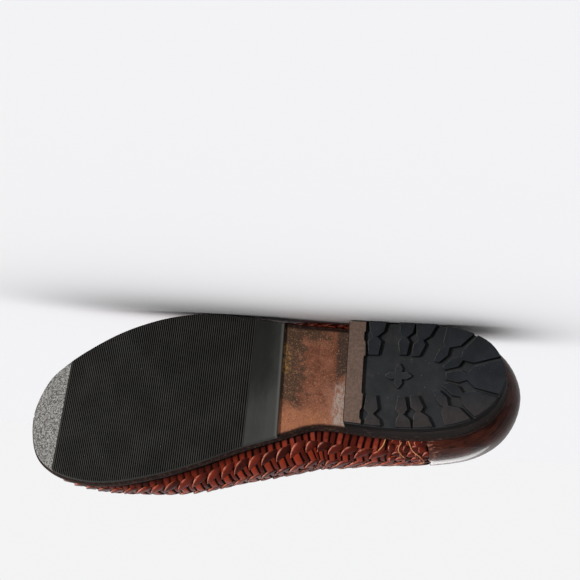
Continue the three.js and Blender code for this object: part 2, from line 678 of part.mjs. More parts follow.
// Pieces with their colours and densities, in grams per cubic centimetre.
const PIECES = [
  { name: 'outsole', geometry: outsoleGeometry(), colour: 0x5a4030, roughness: 0.6, density: 0.9 },
  { name: 'half_sole', geometry: halfSoleGeometry(), colour: 0x1e1e1d, roughness: 0.7, density: 1.2 },
  { name: 'heel_stack', geometry: heelStackGeometry(), colour: 0x221a17, roughness: 0.5, density: 0.9 },
  { name: 'heel_top_piece', geometry: heelTopPieceGeometry(), colour: 0x383b40, roughness: 0.75, density: 1.2 },
  { name: 'insole', geometry: insoleGeometry(), colour: 0x9a6a44, roughness: 0.7, density: 0.9 },
  { name: 'upper', geometry: upperGeometry(), colour: 0x8a3a24, roughness: 0.5, density: 0.9 },
  { name: 'counter', geometry: counterGeometry(), colour: 0x4a1d14, roughness: 0.3, density: 0.9 },
];

const shoe = new THREE.Group();
shoe.name = 'woven_shoe';
for (const { name, geometry, colour, roughness } of PIECES) {
  const mesh = new THREE.Mesh(geometry, new THREE.MeshStandardMaterial({ color: colour, roughness }));
  mesh.name = name;
  shoe.add(mesh);
}

// Centre of mass from signed tetrahedra on the origin.
function centreOfMass() {
  const centre = new THREE.Vector3();
  let mass = 0;
  for (const { geometry, density } of PIECES) {
    const place = geometry.attributes.position;
    const corner = (i) => new THREE.Vector3().fromBufferAttribute(place, geometry.index.getX(i));
    for (let t = 0; t < geometry.index.count; t += 3) {
      const [a, b, c] = [corner(t), corner(t + 1), corner(t + 2)];
      const part = density * a.dot(b.clone().cross(c)) / 6;
      mass += part;
      centre.addScaledVector(a.add(b).add(c), part / 4);
    }
  }
  return centre.divideScalar(mass);
}

// Face of the convex hull that the shoe lies on: on the outer side, with the centre of mass over it.
function restNormal(centre) {
  const hull = new ConvexHull().setFromObject(shoe);
  const side = new THREE.Vector3(0, 1, 0);
  let best = null;
  for (const face of hull.faces) {
    const facing = face.normal.dot(side);
    if (facing < 0.7) continue;
    const foot = centre.clone().addScaledVector(face.normal, face.constant - face.normal.dot(centre));
    let inside = true;
    let edge = face.edge;
    do {
      const tail = edge.tail().point;
      const along = edge.head().point.clone().sub(tail);
      if (along.cross(foot.clone().sub(tail)).dot(face.normal) < -1e-6) inside = false;
      edge = edge.next;
    } while (edge !== face.edge);
    if (inside && (!best || facing > best.dot(side))) best = face.normal.clone();
  }
  return best;
}

// Laid down: the rest face on the floor, the toe along +x, the origin under the middle of its box.
const DOWN = new THREE.Vector3(0, 0, -1);
shoe.quaternion.setFromUnitVectors(restNormal(centreOfMass()), DOWN);
const toeward = new THREE.Vector3(1, 0, 0).applyQuaternion(shoe.quaternion);
shoe.quaternion.premultiply(new THREE.Quaternion().setFromAxisAngle(UP, -Math.atan2(toeward.y, toeward.x)));
shoe.updateMatrixWorld(true);
const box = new THREE.Box3().setFromObject(shoe, true);
const middle = box.getCenter(new THREE.Vector3());
shoe.position.set(-middle.x, -middle.y, -box.min.z);

export default shoe;
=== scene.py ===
# %% [markdown]
# # A woven leather loafer, lying on its outer side
# The CAD model gives the size and the place of every piece. This lesson dresses it: the pieces whose real
# surface is soft, woven or ribbed are modelled again on the same curves, and each gets its own material.
# Everything is worked out on a standing shoe, in millimetres, with x from the heel to the toe, y to the outer
# side and z up from the floor. At the end of each piece one matrix lays it down into the frame of the CAD.

# %% Load the frame
import json
import math
import random

import bmesh
import bpy
import numpy as np
from mathutils import Matrix, Vector


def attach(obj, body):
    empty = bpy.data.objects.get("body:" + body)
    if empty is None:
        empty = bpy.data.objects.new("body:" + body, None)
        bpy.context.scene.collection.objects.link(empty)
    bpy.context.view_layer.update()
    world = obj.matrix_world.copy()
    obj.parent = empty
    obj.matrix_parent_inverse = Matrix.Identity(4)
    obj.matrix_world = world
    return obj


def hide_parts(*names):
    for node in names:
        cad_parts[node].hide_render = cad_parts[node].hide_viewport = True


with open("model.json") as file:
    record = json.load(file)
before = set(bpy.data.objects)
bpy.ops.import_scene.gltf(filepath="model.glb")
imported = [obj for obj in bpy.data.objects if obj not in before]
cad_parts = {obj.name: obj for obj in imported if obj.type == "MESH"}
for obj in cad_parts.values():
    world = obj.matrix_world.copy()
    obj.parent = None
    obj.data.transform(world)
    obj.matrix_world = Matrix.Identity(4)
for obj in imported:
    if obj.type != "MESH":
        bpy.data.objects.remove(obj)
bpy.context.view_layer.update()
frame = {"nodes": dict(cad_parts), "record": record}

# %% [markdown]
# ## From standing to lying
# The packed record tells where the heel tread and the forefoot tread ended up. Two points and the direction that
# the treads face are enough to find the turn, so no number of the CAD model's own placing is repeated here.

# %% The matrix that lays the shoe down
MM = 0.001
HEEL_SPOT = Vector((92, 1, 0))
FOREFOOT_SPOT = Vector((200, -16, 0))
MOUNTS = {mount["name"]: mount for mount in frame["record"]["mounts"]}


def axes(along, up):
    """Three square directions, as the columns of a matrix: along, across and up."""
    up = up.normalized()
    along = (along - up * along.dot(up)).normalized()
    return Matrix((along, up.cross(along), up)).transposed()


def lying_matrix():
    heel, forefoot = (Vector(MOUNTS[name]["pos_m"]) for name in ("heel_tread", "forefoot_tread"))
    standing = axes(FOREFOOT_SPOT - HEEL_SPOT, Vector((0, 0, 1)))
    lying = axes(forefoot - heel, -Vector(MOUNTS["heel_tread"]["axis"]))
    turn = (lying @ standing.inverted()).to_4x4()
    return Matrix.Translation(heel) @ turn @ Matrix.Scale(MM, 4) @ Matrix.Translation(-HEEL_SPOT)


LAY = lying_matrix()
TURN = LAY.to_3x3().normalized()
print("toe direction", [round(x, 4) for x in TURN.col[0]])

# %% [markdown]
# ## Camera
# The camera looks at the sole from the same side as the photograph. The shoe lies on its outer side here, so the
# camera stands near the floor and is rolled over: up in the picture is down in the room. It could be aimed at a
# point and rolled by hand. Its directions are given in the standing shoe's frame instead, so that it keeps its
# angle to the sole however the shoe is laid down.

# %% Place the camera
EYE = Vector((5.6, -212.2, -579.4))
PICTURE_RIGHT = Vector((-0.9793, 0.0876, 0.1823))
PICTURE_DOWN = Vector((-0.0024, -0.9064, 0.4224))
LENS_PIXELS = 1000
FRAME_PIXELS = 580
SENSOR = 36.0
NEAR_CLIP = 0.01

camera_data = bpy.data.cameras.new("camera")
camera_data.sensor_width = SENSOR
camera_data.lens = SENSOR * LENS_PIXELS / FRAME_PIXELS
camera_data.clip_start = NEAR_CLIP
camera = bpy.data.objects.new("camera", camera_data)
bpy.context.scene.collection.objects.link(camera)
right = TURN @ PICTURE_RIGHT.normalized()
up = -(TURN @ (PICTURE_DOWN - PICTURE_RIGHT * PICTURE_DOWN.dot(PICTURE_RIGHT)).normalized())
camera_turn = Matrix((right, up, right.cross(up))).transposed().to_4x4()
camera.matrix_world = Matrix.Translation(LAY @ EYE) @ camera_turn
bpy.context.scene.camera = camera
print("camera at", [round(x, 3) for x in camera.matrix_world.translation])

# %% [markdown]
# ## Shader arithmetic
# A material is a small calculation over the surface. It could be joined up node by node in the shader editor. This
# class wraps one output of a node instead, so that the calculation is written as an ordinary expression:
# `1 - mask * 0.5` adds the Math nodes by itself. Every other node comes from `node`, which sets the node's own
# settings first and then its sockets. Colours are given as a picture shows them, 0 to 255, and made linear.

# %% Colours


def srgb(red, green, blue):
    """A colour as a picture shows it, 0 to 255, made linear for the shader."""
    def linear(part):
        part /= 255
        return part / 12.92 if part <= 0.04045 else ((part + 0.055) / 1.055) ** 2.4
    return (linear(red), linear(green), linear(blue), 1)


print("mid grey is", round(srgb(128, 128, 128)[0], 3), "in linear light")

# %% A wire of a node tree
MIX_FACTOR, MIX_BELOW, MIX_ABOVE, MIX_RESULT = 0, 6, 7, 2  # a Mix node's sockets for colours, by number
VECTOR_OUTPUT, NUMBER_OUTPUT = 1, 2  # of an Attribute node


class Wire:
    """One output of a shader node."""

    def __init__(self, tree, socket=None):
        self.tree = tree
        self.socket = socket

    def node(self, kind, settings=None, inputs=None, output=0):
        """A new node: its settings are set first, then its sockets are joined or given their values."""
        made = self.tree.nodes.new("ShaderNode" + kind)
        for name, value in (settings or {}).items():
            setattr(made, name, value)
        for name, value in (inputs or {}).items():
            if isinstance(value, Wire):
                self.tree.links.new(value.socket, made.inputs[name])
            else:
                made.inputs[name].default_value = value
        return Wire(self.tree, made.outputs[output])

    def math(self, operation, *values):
        return self.node("Math", {"operation": operation}, dict(enumerate(values)))

    def __add__(self, other):
        return self.math("ADD", self, other)

    def __sub__(self, other):
        return self.math("SUBTRACT", self, other)

    def __rsub__(self, other):
        return self.math("SUBTRACT", other, self)

    def __mul__(self, other):
        return self.math("MULTIPLY", self, other)

    __radd__ = __add__
    __rmul__ = __mul__

    def step(self, low, high):
        """0 below low and 1 above high, smooth between; low may be the larger."""
        if low > high:
            return 1 - self.step(high, low)
        inputs = {"Value": self, "From Min": low, "From Max": high}
        return self.node("MapRange", {"interpolation_type": "SMOOTHSTEP"}, inputs)

    def over(self, *colours):
        """A colour: the first where this is 0, the second where it is 1. Each is a wire or a picture's colour."""
        below, above = (colour if isinstance(colour, Wire) else srgb(*colour) for colour in colours)
        inputs = {MIX_FACTOR: self, MIX_BELOW: below, MIX_ABOVE: above}
        return self.node("Mix", {"data_type": "RGBA"}, inputs, MIX_RESULT)

    def noise(self, scale, detail, rough):
        """Noise over the place that this wire gives, with marks about 1/scale long."""
        inputs = {"Vector": self, "Scale": scale, "Detail": detail, "Roughness": rough}
        return self.node("TexNoise", None, inputs)

    def stretched(self, x, y, z):
        """This place, scaled along each axis."""
        return self.node("VectorMath", {"operation": "MULTIPLY"}, {0: self, 1: (x, y, z)})

    def part(self, axis):
        """One number of a place: 0 is x, 1 is y and 2 is z."""
        return self.node("SeparateXYZ", None, {"Vector": self}, axis)

    def attribute(self, name, output=NUMBER_OUTPUT):
        """What the points of the mesh have noted under a name."""
        return self.node("Attribute", {"attribute_name": name}, None, output)


print("a wire can", [name for name in vars(Wire) if not name.startswith("_")])

# %% [markdown]
# ## Starting and ending a material
# `new_finish` starts a material with the numbers that are the same all over it, and gives the place of each point
# on the standing shoe, which every pattern is laid out on. `stained` lays one colour over another in turn, as wear
# does. `feed` joins the finished wires to the shader, and a height to the shader's normal, so that fine grain
# needs no faces.

# %% Materials
SHADER = "Principled BSDF"


def shader_socket(material, name):
    return material.node_tree.nodes[SHADER].inputs[name.replace("_", " ")]


def new_material(name, **constants):
    """A material with its shader's constants set."""
    material = bpy.data.materials.new(name)
    material.use_nodes = True
    for socket, value in constants.items():
        shader_socket(material, socket).default_value = value
    return material


def new_finish(name, **constants):
    """A new material, and the wire of each point's place on the standing shoe."""
    material = new_material(name, **constants)
    return material, Wire(material.node_tree).attribute("shoe", VECTOR_OUTPUT)


def stained(colour, *stains):
    """A colour with stains laid over it in turn: each has a mask, a strength and its own colour."""
    for mask, strength, stain in stains:
        colour = (mask * strength).over(colour, stain)
    return colour


def feed(material, height, depth, **wires):
    """Joins wires to the shader's sockets, and a height, depth millimetres deep, to its normal."""
    bump = height.node("Bump", None, {"Height": height, "Distance": depth * MM, "Strength": 1.0})
    for socket, wire in {"Normal": bump, **wires}.items():
        material.node_tree.links.new(wire.socket, shader_socket(material, socket))
    print(material.name, len(material.node_tree.nodes), "nodes")
    return material


print("every finish ends in one", SHADER)

# %% [markdown]
# ## The curves of the last
# The last is the block that a shoe is made on. It could be sculpted, but then no size could be read off it. Its
# sizes are kept in short tables instead, one row for each place along the shoe, as shares of the length and of the
# ball's width, so that one number can be changed without touching the rest. A curve without overshoot joins the
# rows.

# %% Tables of the last
LENGTH = 304.6
BALL_WIDTH = 106.0
HEEL_HEIGHT = 20.5
OUTSOLE_THICK = 4.6
FIT_GAP = 0.3
FEATHER_INSET = 1.0
THROAT_SHARE = 0.53
COUNTER_SHARE = 0.182


def table(columns, *rows):
    return {name: np.array([row[i] for row in rows], float) for i, name in enumerate(columns.split())}


SECTIONS = table(
    "along lateral medial lateral_swell medial_swell bulge_high",
    (0.023, 0.189, 0.151, 0.086, 0.086, 18),
    (0.072, 0.278, 0.255, 0.088, 0.092, 18),
    (0.148, 0.323, 0.305, 0.084, 0.096, 17),
    (0.246, 0.332, 0.306, 0.088, 0.116, 17),
    (0.338, 0.337, 0.283, 0.105, 0.168, 18),
    (0.387, 0.334, 0.292, 0.106, 0.176, 18),
    (0.446, 0.332, 0.363, 0.084, 0.156, 18),
    (0.525, 0.353, 0.452, 0.054, 0.133, 17),
    (0.614, 0.377, 0.557, 0.028, 0.112, 15),
    (0.696, 0.358, 0.634, 0.016, 0.070, 14),
    (0.788, 0.287, 0.684, 0.012, 0.028, 13),
    (0.860, 0.194, 0.678, 0.012, 0.012, 12.5),
    (0.932, 0.066, 0.615, 0.012, 0.012, 12),
    (0.978, -0.053, 0.503, 0.012, 0.012, 12),
)
HEEL_END = (0, 0.019)
TOE_END = (1, -0.264)
UNDERSIDE = table(
    "along high",
    (0, 1), (0.11, 0.956), (0.22, 0.9), (0.318, 0.81), (0.38, 0.6), (0.452, 0.33),
    (0.53, 0.2), (0.605, 0.161), (0.7, 0.161), (0.8, 0.24), (0.9, 0.42), (1, 0.66),
)
COLLAR = table(
    "along lateral medial high lean",
    (0, 0.01, -0.01, 89, 4),
    (0.009, 0.105, 0.09, 88.4, 4),
    (0.038, 0.19, 0.18, 86.4, 5),
    (0.125, 0.27, 0.27, 78, 10),
    (0.26, 0.31, 0.33, 69, 18),
    (0.39, 0.225, 0.33, 70, 38),
    (0.48, 0.07, 0.235, 74.5, 68),
    (0.517, -0.08, 0.08, 76, 86),
)
RIDGE = table(
    "along across high",
    (0.517, -0.08, 76), (0.61, -0.135, 65.5), (0.7, -0.19, 56.5), (0.79, -0.24, 48.5), (0.86, -0.27, 43),
)
print("rows of the tables", [len(rows["along"]) for rows in (SECTIONS, UNDERSIDE, COLLAR, RIDGE)])

# %% Read a table


def read(rows, column, along):
    """The smooth curve through one column, at places along the shoe."""
    x, y = rows["along"], rows[column]
    along = np.clip(np.asarray(along, float), x[0], x[-1])
    slope = np.diff(y) / np.diff(x)
    before, after = slope[:-1], slope[1:]
    same = before * after > 0
    inner = np.where(same, 2 * before * after / np.where(same, before + after, 1), 0)
    lean = np.concatenate([slope[:1], inner, slope[-1:]])
    i = np.clip(np.searchsorted(x, along, side="right") - 1, 0, len(x) - 2)
    width = x[i + 1] - x[i]
    u = (along - x[i]) / width
    rise = (3 - 2 * u) * u * u
    ends = y[i] * (1 - rise) + y[i + 1] * rise
    return ends + width * ((1 - u) ** 2 * u * lean[i] + (u - 1) * u * u * lean[i + 1])


def underside(x):
    """Height of the outsole's lower face over the floor."""
    return HEEL_HEIGHT * read(UNDERSIDE, "high", np.asarray(x) / LENGTH)


def smoothstep(value, low, high):
    u = np.clip((np.asarray(value, float) - low) / (high - low), 0, 1)
    return u * u * (3 - 2 * u)


print("arch height", round(float(underside(0.38 * LENGTH)), 2), "mm")

# %% [markdown]
# ## The outline of the sole
# One closed curve runs from the heel back along the outer side, round the toe and back along the inner side.
# Straight lines would leave corners in the edge of the sole. A centripetal curve is used, because it passes through
# every point of the table without loops.

# %% Smooth lines


def smooth_line(points, closed=False, steps=40):
    """Close points on a centripetal curve through the given ones."""
    p = np.asarray(points, float)
    p = np.vstack([p[-1:], p, p[:2]]) if closed else np.vstack([2 * p[0] - p[1], p, 2 * p[-1] - p[-2]])
    u = np.linspace(0, 1, steps, endpoint=False)[:, None]
    pieces = []
    for a, b, c, d in zip(p, p[1:], p[2:], p[3:]):
        t0, t1, t2 = (np.linalg.norm(end - start) ** 0.5 for start, end in ((a, b), (b, c), (c, d)))
        leave = t1 * ((b - a) / t0 - (c - a) / (t0 + t1) + (c - b) / t1)
        arrive = t1 * ((c - b) / t1 - (d - b) / (t1 + t2) + (d - c) / t2)
        bend = 3 * (c - b) - 2 * leave - arrive
        twist = 2 * (b - c) + leave + arrive
        pieces.append(b + leave * u + bend * u**2 + twist * u**3)
    return np.vstack(pieces + [p[-2:-1]])


def along_line(line, share):
    """Points at shares of a line's length."""
    steps = np.linalg.norm(np.diff(line, axis=0), axis=1)
    reach = np.concatenate([[0], np.cumsum(steps)]) / steps.sum()
    return np.stack([np.interp(share, reach, line[:, k]) for k in range(3)], -1)


def plan(along, across, high=0):
    """Points from shares of the length and of the ball's width, with a height in millimetres."""
    return np.stack(np.broadcast_arrays(np.multiply(along, LENGTH), np.multiply(across, BALL_WIDTH), high), -1)


OUTLINE = smooth_line(np.vstack([
    plan(*HEEL_END),
    plan(SECTIONS["along"], SECTIONS["lateral"]),
    plan(*TOE_END),
    plan(SECTIONS["along"], -SECTIONS["medial"])[::-1],
]), closed=True)
print("outline of", len(OUTLINE), "points")

# %% Places round the outline
OUTLINE_STEP = 0.0008
FINE = np.linspace(0, 1, 6001)
TOE_AT = FINE[np.argmax(along_line(OUTLINE, FINE)[:, 0])]


def outward(u):
    """Direction away from the sole, in plan, at shares of the outline."""
    before, after = (along_line(OUTLINE, np.mod(np.add(u, step), 1)) for step in (-OUTLINE_STEP, OUTLINE_STEP))
    ahead = after - before
    out = np.stack([-ahead[..., 1], ahead[..., 0], np.zeros_like(ahead[..., 0])], -1)
    return out / np.linalg.norm(out, axis=-1, keepdims=True)


def perimeter(a):
    """Share of the outline for a place round the shoe: 0 heel back, 1 toe tip, 2 the heel back again."""
    a = np.asarray(a, float)
    return np.mod(np.where(a <= 1, a * TOE_AT, TOE_AT + (a - 1) * (1 - TOE_AT)), 1)


print("toe tip at", round(float(TOE_AT), 4), "of the outline")

# %% [markdown]
# ## The wall of the upper
# The upper is a curved wall. A line up the wall starts at the feather line, where the upper meets the sole, swells
# out to its widest place and leans in to the collar or to the ridge of the vamp. Many such lines make a grid, and
# `on_wall` reads a point of it: how far round the shoe, how far up the wall in millimetres and how far raised. A
# piece can then be modelled flat, as leather is cut, and wrapped onto the shoe afterwards.

# %% The wall's top edge
RIDGE_LINE = smooth_line(plan(RIDGE["along"], RIDGE["across"], RIDGE["high"]))
RIDGE_EASE = 0.6  # crowds the lines towards the front end of the ridge
RIDGE_STEP = 0.002
FAN_BACK = -0.3  # the most that a line leaves the ridge backward
LEVEL = np.array([1, 1, 0])
UP = np.array([0, 0, 1])


def unit(vectors):
    return vectors / np.maximum(np.linalg.norm(vectors, axis=-1, keepdims=True), 1e-9)


def top_edge(side, share, bulge):
    """Where the wall ends at the collar or the ridge, and the direction in which it leaves it."""
    collar = smooth_line(plan(COLLAR["along"], side * COLLAR["lateral" if side > 0 else "medial"], COLLAR["high"]))
    on_collar = (share <= THROAT_SHARE)[:, None]
    u = np.clip((share - THROAT_SHARE) / (1 - THROAT_SHARE), 0, 1)
    part = (1 + RIDGE_EASE) * u - RIDGE_EASE * u * u
    collar_point = along_line(collar, np.minimum(share / THROAT_SHARE, 1))
    point = np.where(on_collar, collar_point, along_line(RIDGE_LINE, part))
    away = unit((bulge - point) * LEVEL)
    lean = np.radians(read(COLLAR, "lean", point[:, 0] / LENGTH))[:, None]
    from_collar = away * np.sin(lean) - UP * np.cos(lean)
    before, after = np.maximum(part - RIDGE_STEP, 0), np.minimum(part + RIDGE_STEP, 1)
    along = unit(along_line(RIDGE_LINE, after) - along_line(RIDGE_LINE, before))
    ahead = unit(along * LEVEL)
    across = side * np.stack([-ahead[:, 1], ahead[:, 0], ahead[:, 2] * 0], -1)
    fan = np.clip((away * ahead).sum(-1, keepdims=True), FAN_BACK, 1)
    from_ridge = across * np.sqrt(1 - fan**2) + along * fan
    return point, np.where(on_collar, from_collar, from_ridge)


print("ridge of", round(float(np.linalg.norm(RIDGE_LINE[-1] - RIDGE_LINE[0])), 1), "mm")

# %% Lines up the wall
WALL_ROWS = 120
LOW_STEPS, HIGH_STEPS = 40, 80
FOOT_OUT, FOOT_UP = 0.6, 0.2  # pull of the curve where it leaves the sole, as shares of the swell and the rise
BULGE_PULL = 0.5
TOP_PULL, VAMP_PULL = 0.36, 0.14  # pull at the top edge, and how much more at the vamp
VAMP_FROM, VAMP_TO = 0.3, THROAT_SHARE + 0.08


def bezier(p0, p1, p2, p3, count):
    u = np.linspace(0, 1, count)[None, :, None]
    p0, p1, p2, p3 = (p[:, None, :] for p in (p0, p1, p2, p3))
    return p0 * (1 - u) ** 3 + 3 * p1 * u * (1 - u) ** 2 + 3 * p2 * u**2 * (1 - u) + p3 * u**3


def wall_lines(a):
    """Lines up the wall at places round the shoe, each in equal steps of its own length."""
    side = 1 if a[0] < 1 else -1
    share = a if side > 0 else 2 - a
    out = outward(perimeter(a))
    feather = along_line(OUTLINE, perimeter(a)) - FEATHER_INSET * out
    feather[:, 2] = underside(feather[:, 0]) + OUTSOLE_THICK + FIT_GAP
    along = feather[:, 0] / LENGTH
    swell = BALL_WIDTH * read(SECTIONS, "lateral_swell" if side > 0 else "medial_swell", along)[:, None]
    rise = read(SECTIONS, "bulge_high", along)[:, None]
    bulge = feather + out * swell + UP * rise
    top, leave = top_edge(side, share, bulge)
    reach = np.linalg.norm(top - bulge, axis=-1, keepdims=True)
    pull = (TOP_PULL + VAMP_PULL * smoothstep(share, VAMP_FROM, VAMP_TO))[:, None]
    foot_pull = feather + out * swell * FOOT_OUT + UP * rise * FOOT_UP
    low = bezier(feather, foot_pull, bulge - UP * rise * BULGE_PULL, bulge, LOW_STEPS)
    high = bezier(bulge, bulge + UP * (top - bulge)[:, 2:] * BULGE_PULL, top + leave * reach * pull, top, HIGH_STEPS)
    lines = np.concatenate([low, high[:, 1:]], axis=1)
    shares = np.linspace(0, 1, WALL_ROWS + 1)
    lengths = np.linalg.norm(np.diff(lines, axis=1), axis=-1).sum(-1)
    return np.stack([along_line(line, shares) for line in lines]), lengths


print("a line has", WALL_ROWS, "steps")

# %% Grid of the wall
SIDE_LINES = 300
ROUND = np.linspace(0, 2, 2 * SIDE_LINES + 1)
LATERAL_WALL, LATERAL_LENGTHS = wall_lines(ROUND[:SIDE_LINES])
MEDIAL_WALL, MEDIAL_LENGTHS = wall_lines(ROUND[SIDE_LINES:-1])
WALL = np.concatenate([LATERAL_WALL, MEDIAL_WALL])
LENGTHS = np.concatenate([LATERAL_LENGTHS, MEDIAL_LENGTHS])
UPWARD = unit(np.gradient(WALL, axis=1))
ONWARD = np.roll(WALL, -1, axis=0) - np.roll(WALL, 1, axis=0)
NORMALS = unit(np.cross(UPWARD, ONWARD))
print("wall from", round(LENGTHS.min(), 1), "to", round(LENGTHS.max(), 1), "mm high")

# %% [markdown]
# ## Creases
# Walking bends a shoe at the ball of the foot, and the vamp folds there in a few soft troughs with low ridges
# between them. They run across the vamp, further forward on the inner side, and die away down the wall. A cloth
# simulation would erase the weave's strips, so four rows of a table place them. They move every point that
# is read from the wall, so weave, backing and lining fold together.

# %% Creases of the vamp
CREASES = table(
    "along depth half_width",
    (0.590, 1.7, 5.5),
    (0.640, 2.7, 6.0),
    (0.690, 2.3, 5.5),
    (0.734, 1.4, 5.0),
)
CREASE_SLANT = 0.24
CREASE_PIVOT = 0.2  # where a crease has its place along the shoe, as a share of the ball's width to the inner side
CREASE_LOW, CREASE_FULL = 0.34, 0.7  # shares of the wall's height


def crease(point, share_up):
    """How far the wall sinks at a point, in millimetres: a trough with a low ridge on both sides."""
    middle = point[..., 0] + CREASE_SLANT * (point[..., 1] + CREASE_PIVOT * BALL_WIDTH)
    sunk = 0
    for along, depth, half_width in zip(*CREASES.values()):
        u = (middle - along * LENGTH) / half_width
        sunk = sunk + depth * (1 - u * u) * np.exp(-u * u / 2)
    return sunk * smoothstep(share_up, CREASE_LOW, CREASE_FULL)


print("deepest crease", CREASES["depth"].max(), "mm")

# %% Read a point of the wall
NORMAL_SHORT = 3.5  # the normals are read no nearer than this to the top edge, where the grid is pinched


def grid_read(grid, column, row):
    """Value of a grid between its lines; columns run round and round."""
    count = len(grid)
    c0 = np.floor(column).astype(int)
    r0 = np.clip(np.floor(row).astype(int), 0, WALL_ROWS - 1)
    c, r = (column - c0)[..., None], (row - r0)[..., None]
    c0, c1 = c0 % count, (c0 + 1) % count
    low = grid[c0, r0] * (1 - c) + grid[c1, r0] * c
    return low * (1 - r) + (grid[c0, r0 + 1] * (1 - c) + grid[c1, r0 + 1] * c) * r


def wall_length(a):
    return np.interp(np.mod(a, 2), ROUND, np.append(LENGTHS, LENGTHS[0]))


def on_wall(a, distance, raised):
    """Points of the shoe: a round it, distance up the wall and raised from it, in millimetres."""
    a, distance, raised = np.broadcast_arrays(*(np.asarray(x, float) for x in (a, distance, raised)))
    length = wall_length(a)
    past_ridge = (distance > length) & (np.abs(a - 1) < 1 - THROAT_SHARE)
    a = np.where(past_ridge, 2 - a, a)
    distance = np.where(past_ridge, length + wall_length(a) - distance, distance)
    length = wall_length(a)
    column = np.mod(a, 2) * SIDE_LINES
    row = np.clip(distance / length, 0, 1) * WALL_ROWS
    highest = (1 - NORMAL_SHORT / length) * WALL_ROWS
    normal = grid_read(NORMALS, column, np.minimum(row, highest))
    twin = grid_read(NORMALS, np.mod(-column, 2 * SIDE_LINES), np.minimum(row, highest))
    on_ridge = np.abs(a - 1) <= 1 - THROAT_SHARE
    share = np.where(on_ridge, np.clip((row - highest) / (WALL_ROWS - highest), 0, 1) / 2, 0)[..., None]
    point = grid_read(WALL, column, row)
    raised = raised - crease(point, row / WALL_ROWS)
    point = point + unit(normal * (1 - share) + twin * share) * raised[..., None]
    spare = distance - np.clip(distance, 0, length)
    return point + grid_read(UPWARD, column, row) * spare[..., None]


print("outer waist", np.round(on_wall(0.39, 20, 0), 1))

# %% [markdown]
# ## Helpers that make the pieces
# Most pieces begin as a flat grid, as a sheet of leather or rubber does. `grid` adds one and says which column and
# row each point is in, and `move` puts the points where they belong. Where that brings two edges together, `roll`
# merges the doubled points and the sheet is a bar. `note` writes numbers on each point for the materials.

# %% Sheets


def points_of(verts):
    return np.array([vert.co for vert in verts])


def grid(bm, columns, rows):
    """Points of a flat sheet in order of creation, and the column and the row of each."""
    verts = bmesh.ops.create_grid(bm, x_segments=columns, y_segments=rows, size=0.5)["verts"]
    column, row, _ = np.rint((points_of(verts) + 0.5) * (columns, rows, 1)).astype(int).T
    return verts, column, row


def move(verts, points):
    for vert, point in zip(verts, points):
        vert.co = point


def roll(bm, verts, points, gap=1e-3):
    """Moves a sheet's points and merges those that come together, so that it becomes a bar."""
    move(verts, points)
    bmesh.ops.remove_doubles(bm, verts=verts, dist=gap)


def blank(*notes):
    """An empty mesh whose points can hold the named numbers. Layers come first: adding one later frees the points."""
    made = bmesh.new()
    for name in notes:
        made.verts.layers.float.new(name)
    return made


def note(bm, verts, **notes):
    """Writes numbers on each point, for the materials."""
    for name, values in notes.items():
        layer = bm.verts.layers.float[name]
        for vert, value in zip(verts, np.broadcast_to(values, len(verts))):
            vert[layer] = float(value)


def fill_holes(bm, sides=0):
    """Closes open ends with one face each; sides is the most that a hole may have, or 0 for any."""
    bmesh.ops.holes_fill(bm, edges=[edge for edge in bm.edges if edge.is_boundary], sides=sides)


trial = blank()
print("a sheet of 2 by 3 faces has", len(grid(trial, 2, 3)[0]), "points")
trial.free()

# %% [markdown]
# `finish` does what every piece needs at its end. It notes the standing place of every point, marks the edges that
# stay sharp, lays the piece down, gives it its finish and hides the CAD node that it stands for.

# %% Finish a piece


def finish(name, bm, material, node, sharp, recalculate=True):
    """The finished piece: faces outward, laid down, riding on the shoe in the place of a CAD node."""
    if recalculate:
        bmesh.ops.recalc_face_normals(bm, faces=bm.faces)
    layer = bm.verts.layers.float_vector.new("shoe")
    for vert in bm.verts:
        vert[layer] = vert.co
    limit = math.radians(sharp)
    for edge in bm.edges:
        edge.smooth = edge.calc_face_angle(0) < limit
    for face in bm.faces:
        face.smooth = True
    bm.transform(LAY)
    mesh = bpy.data.meshes.new(name)
    bm.to_mesh(mesh)
    bm.free()
    mesh.materials.append(material)
    piece = bpy.data.objects.new(name, mesh)
    bpy.context.scene.collection.objects.link(piece)
    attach(piece, "root")
    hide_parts(node)
    print(name, len(mesh.polygons), "faces")


# %% [markdown]
# ## Lofts along the sole
# Outsole, half sole, heel block and insole all follow the outline. Each is a sheet whose columns are stations
# along the shoe and whose rows run once round the cross-section; the sheet is rolled up until its edges meet and
# the two ends are filled. Bridging ring after ring would give the same bar, and this needs one grid. A row of the
# cross-section says how far across it lies, how far past the outline and how high.

# %% Edges of the sole
OUTLINE_POINTS = 1601


def offset_sides(out):
    """Outer and inner side of the outline moved outward, each from the heel to the toe."""
    u = np.linspace(0, 1, OUTLINE_POINTS)
    line = along_line(OUTLINE, u) + outward(u) * out
    toe = np.argmax(line[:, 0])
    heel = np.argmin(line[:, 0])
    heel = heel if heel < OUTLINE_POINTS // 2 else 0
    return line[heel:toe + 1], line[toe:][::-1]


def edges_at(x, out):
    """Where the outline, moved outward, crosses the stations: y of the outer and of the inner side."""
    outer, inner = offset_sides(out)
    return np.interp(x, outer[:, 0], outer[:, 1]), np.interp(x, inner[:, 0], inner[:, 1])


def ends_at(out):
    """How far back and how far forward the outline reaches when it is moved outward."""
    outer, inner = offset_sides(out)
    return max(outer[0, 0], inner[0, 0]), outer[-1, 0]


print("sole ends", ends_at(0))

# %% The loft
BEND_REACH = 20.0  # a rounded end draws the stations in or out over this length
END_SHORT, ROW_MERGE = 0.02, 1e-4


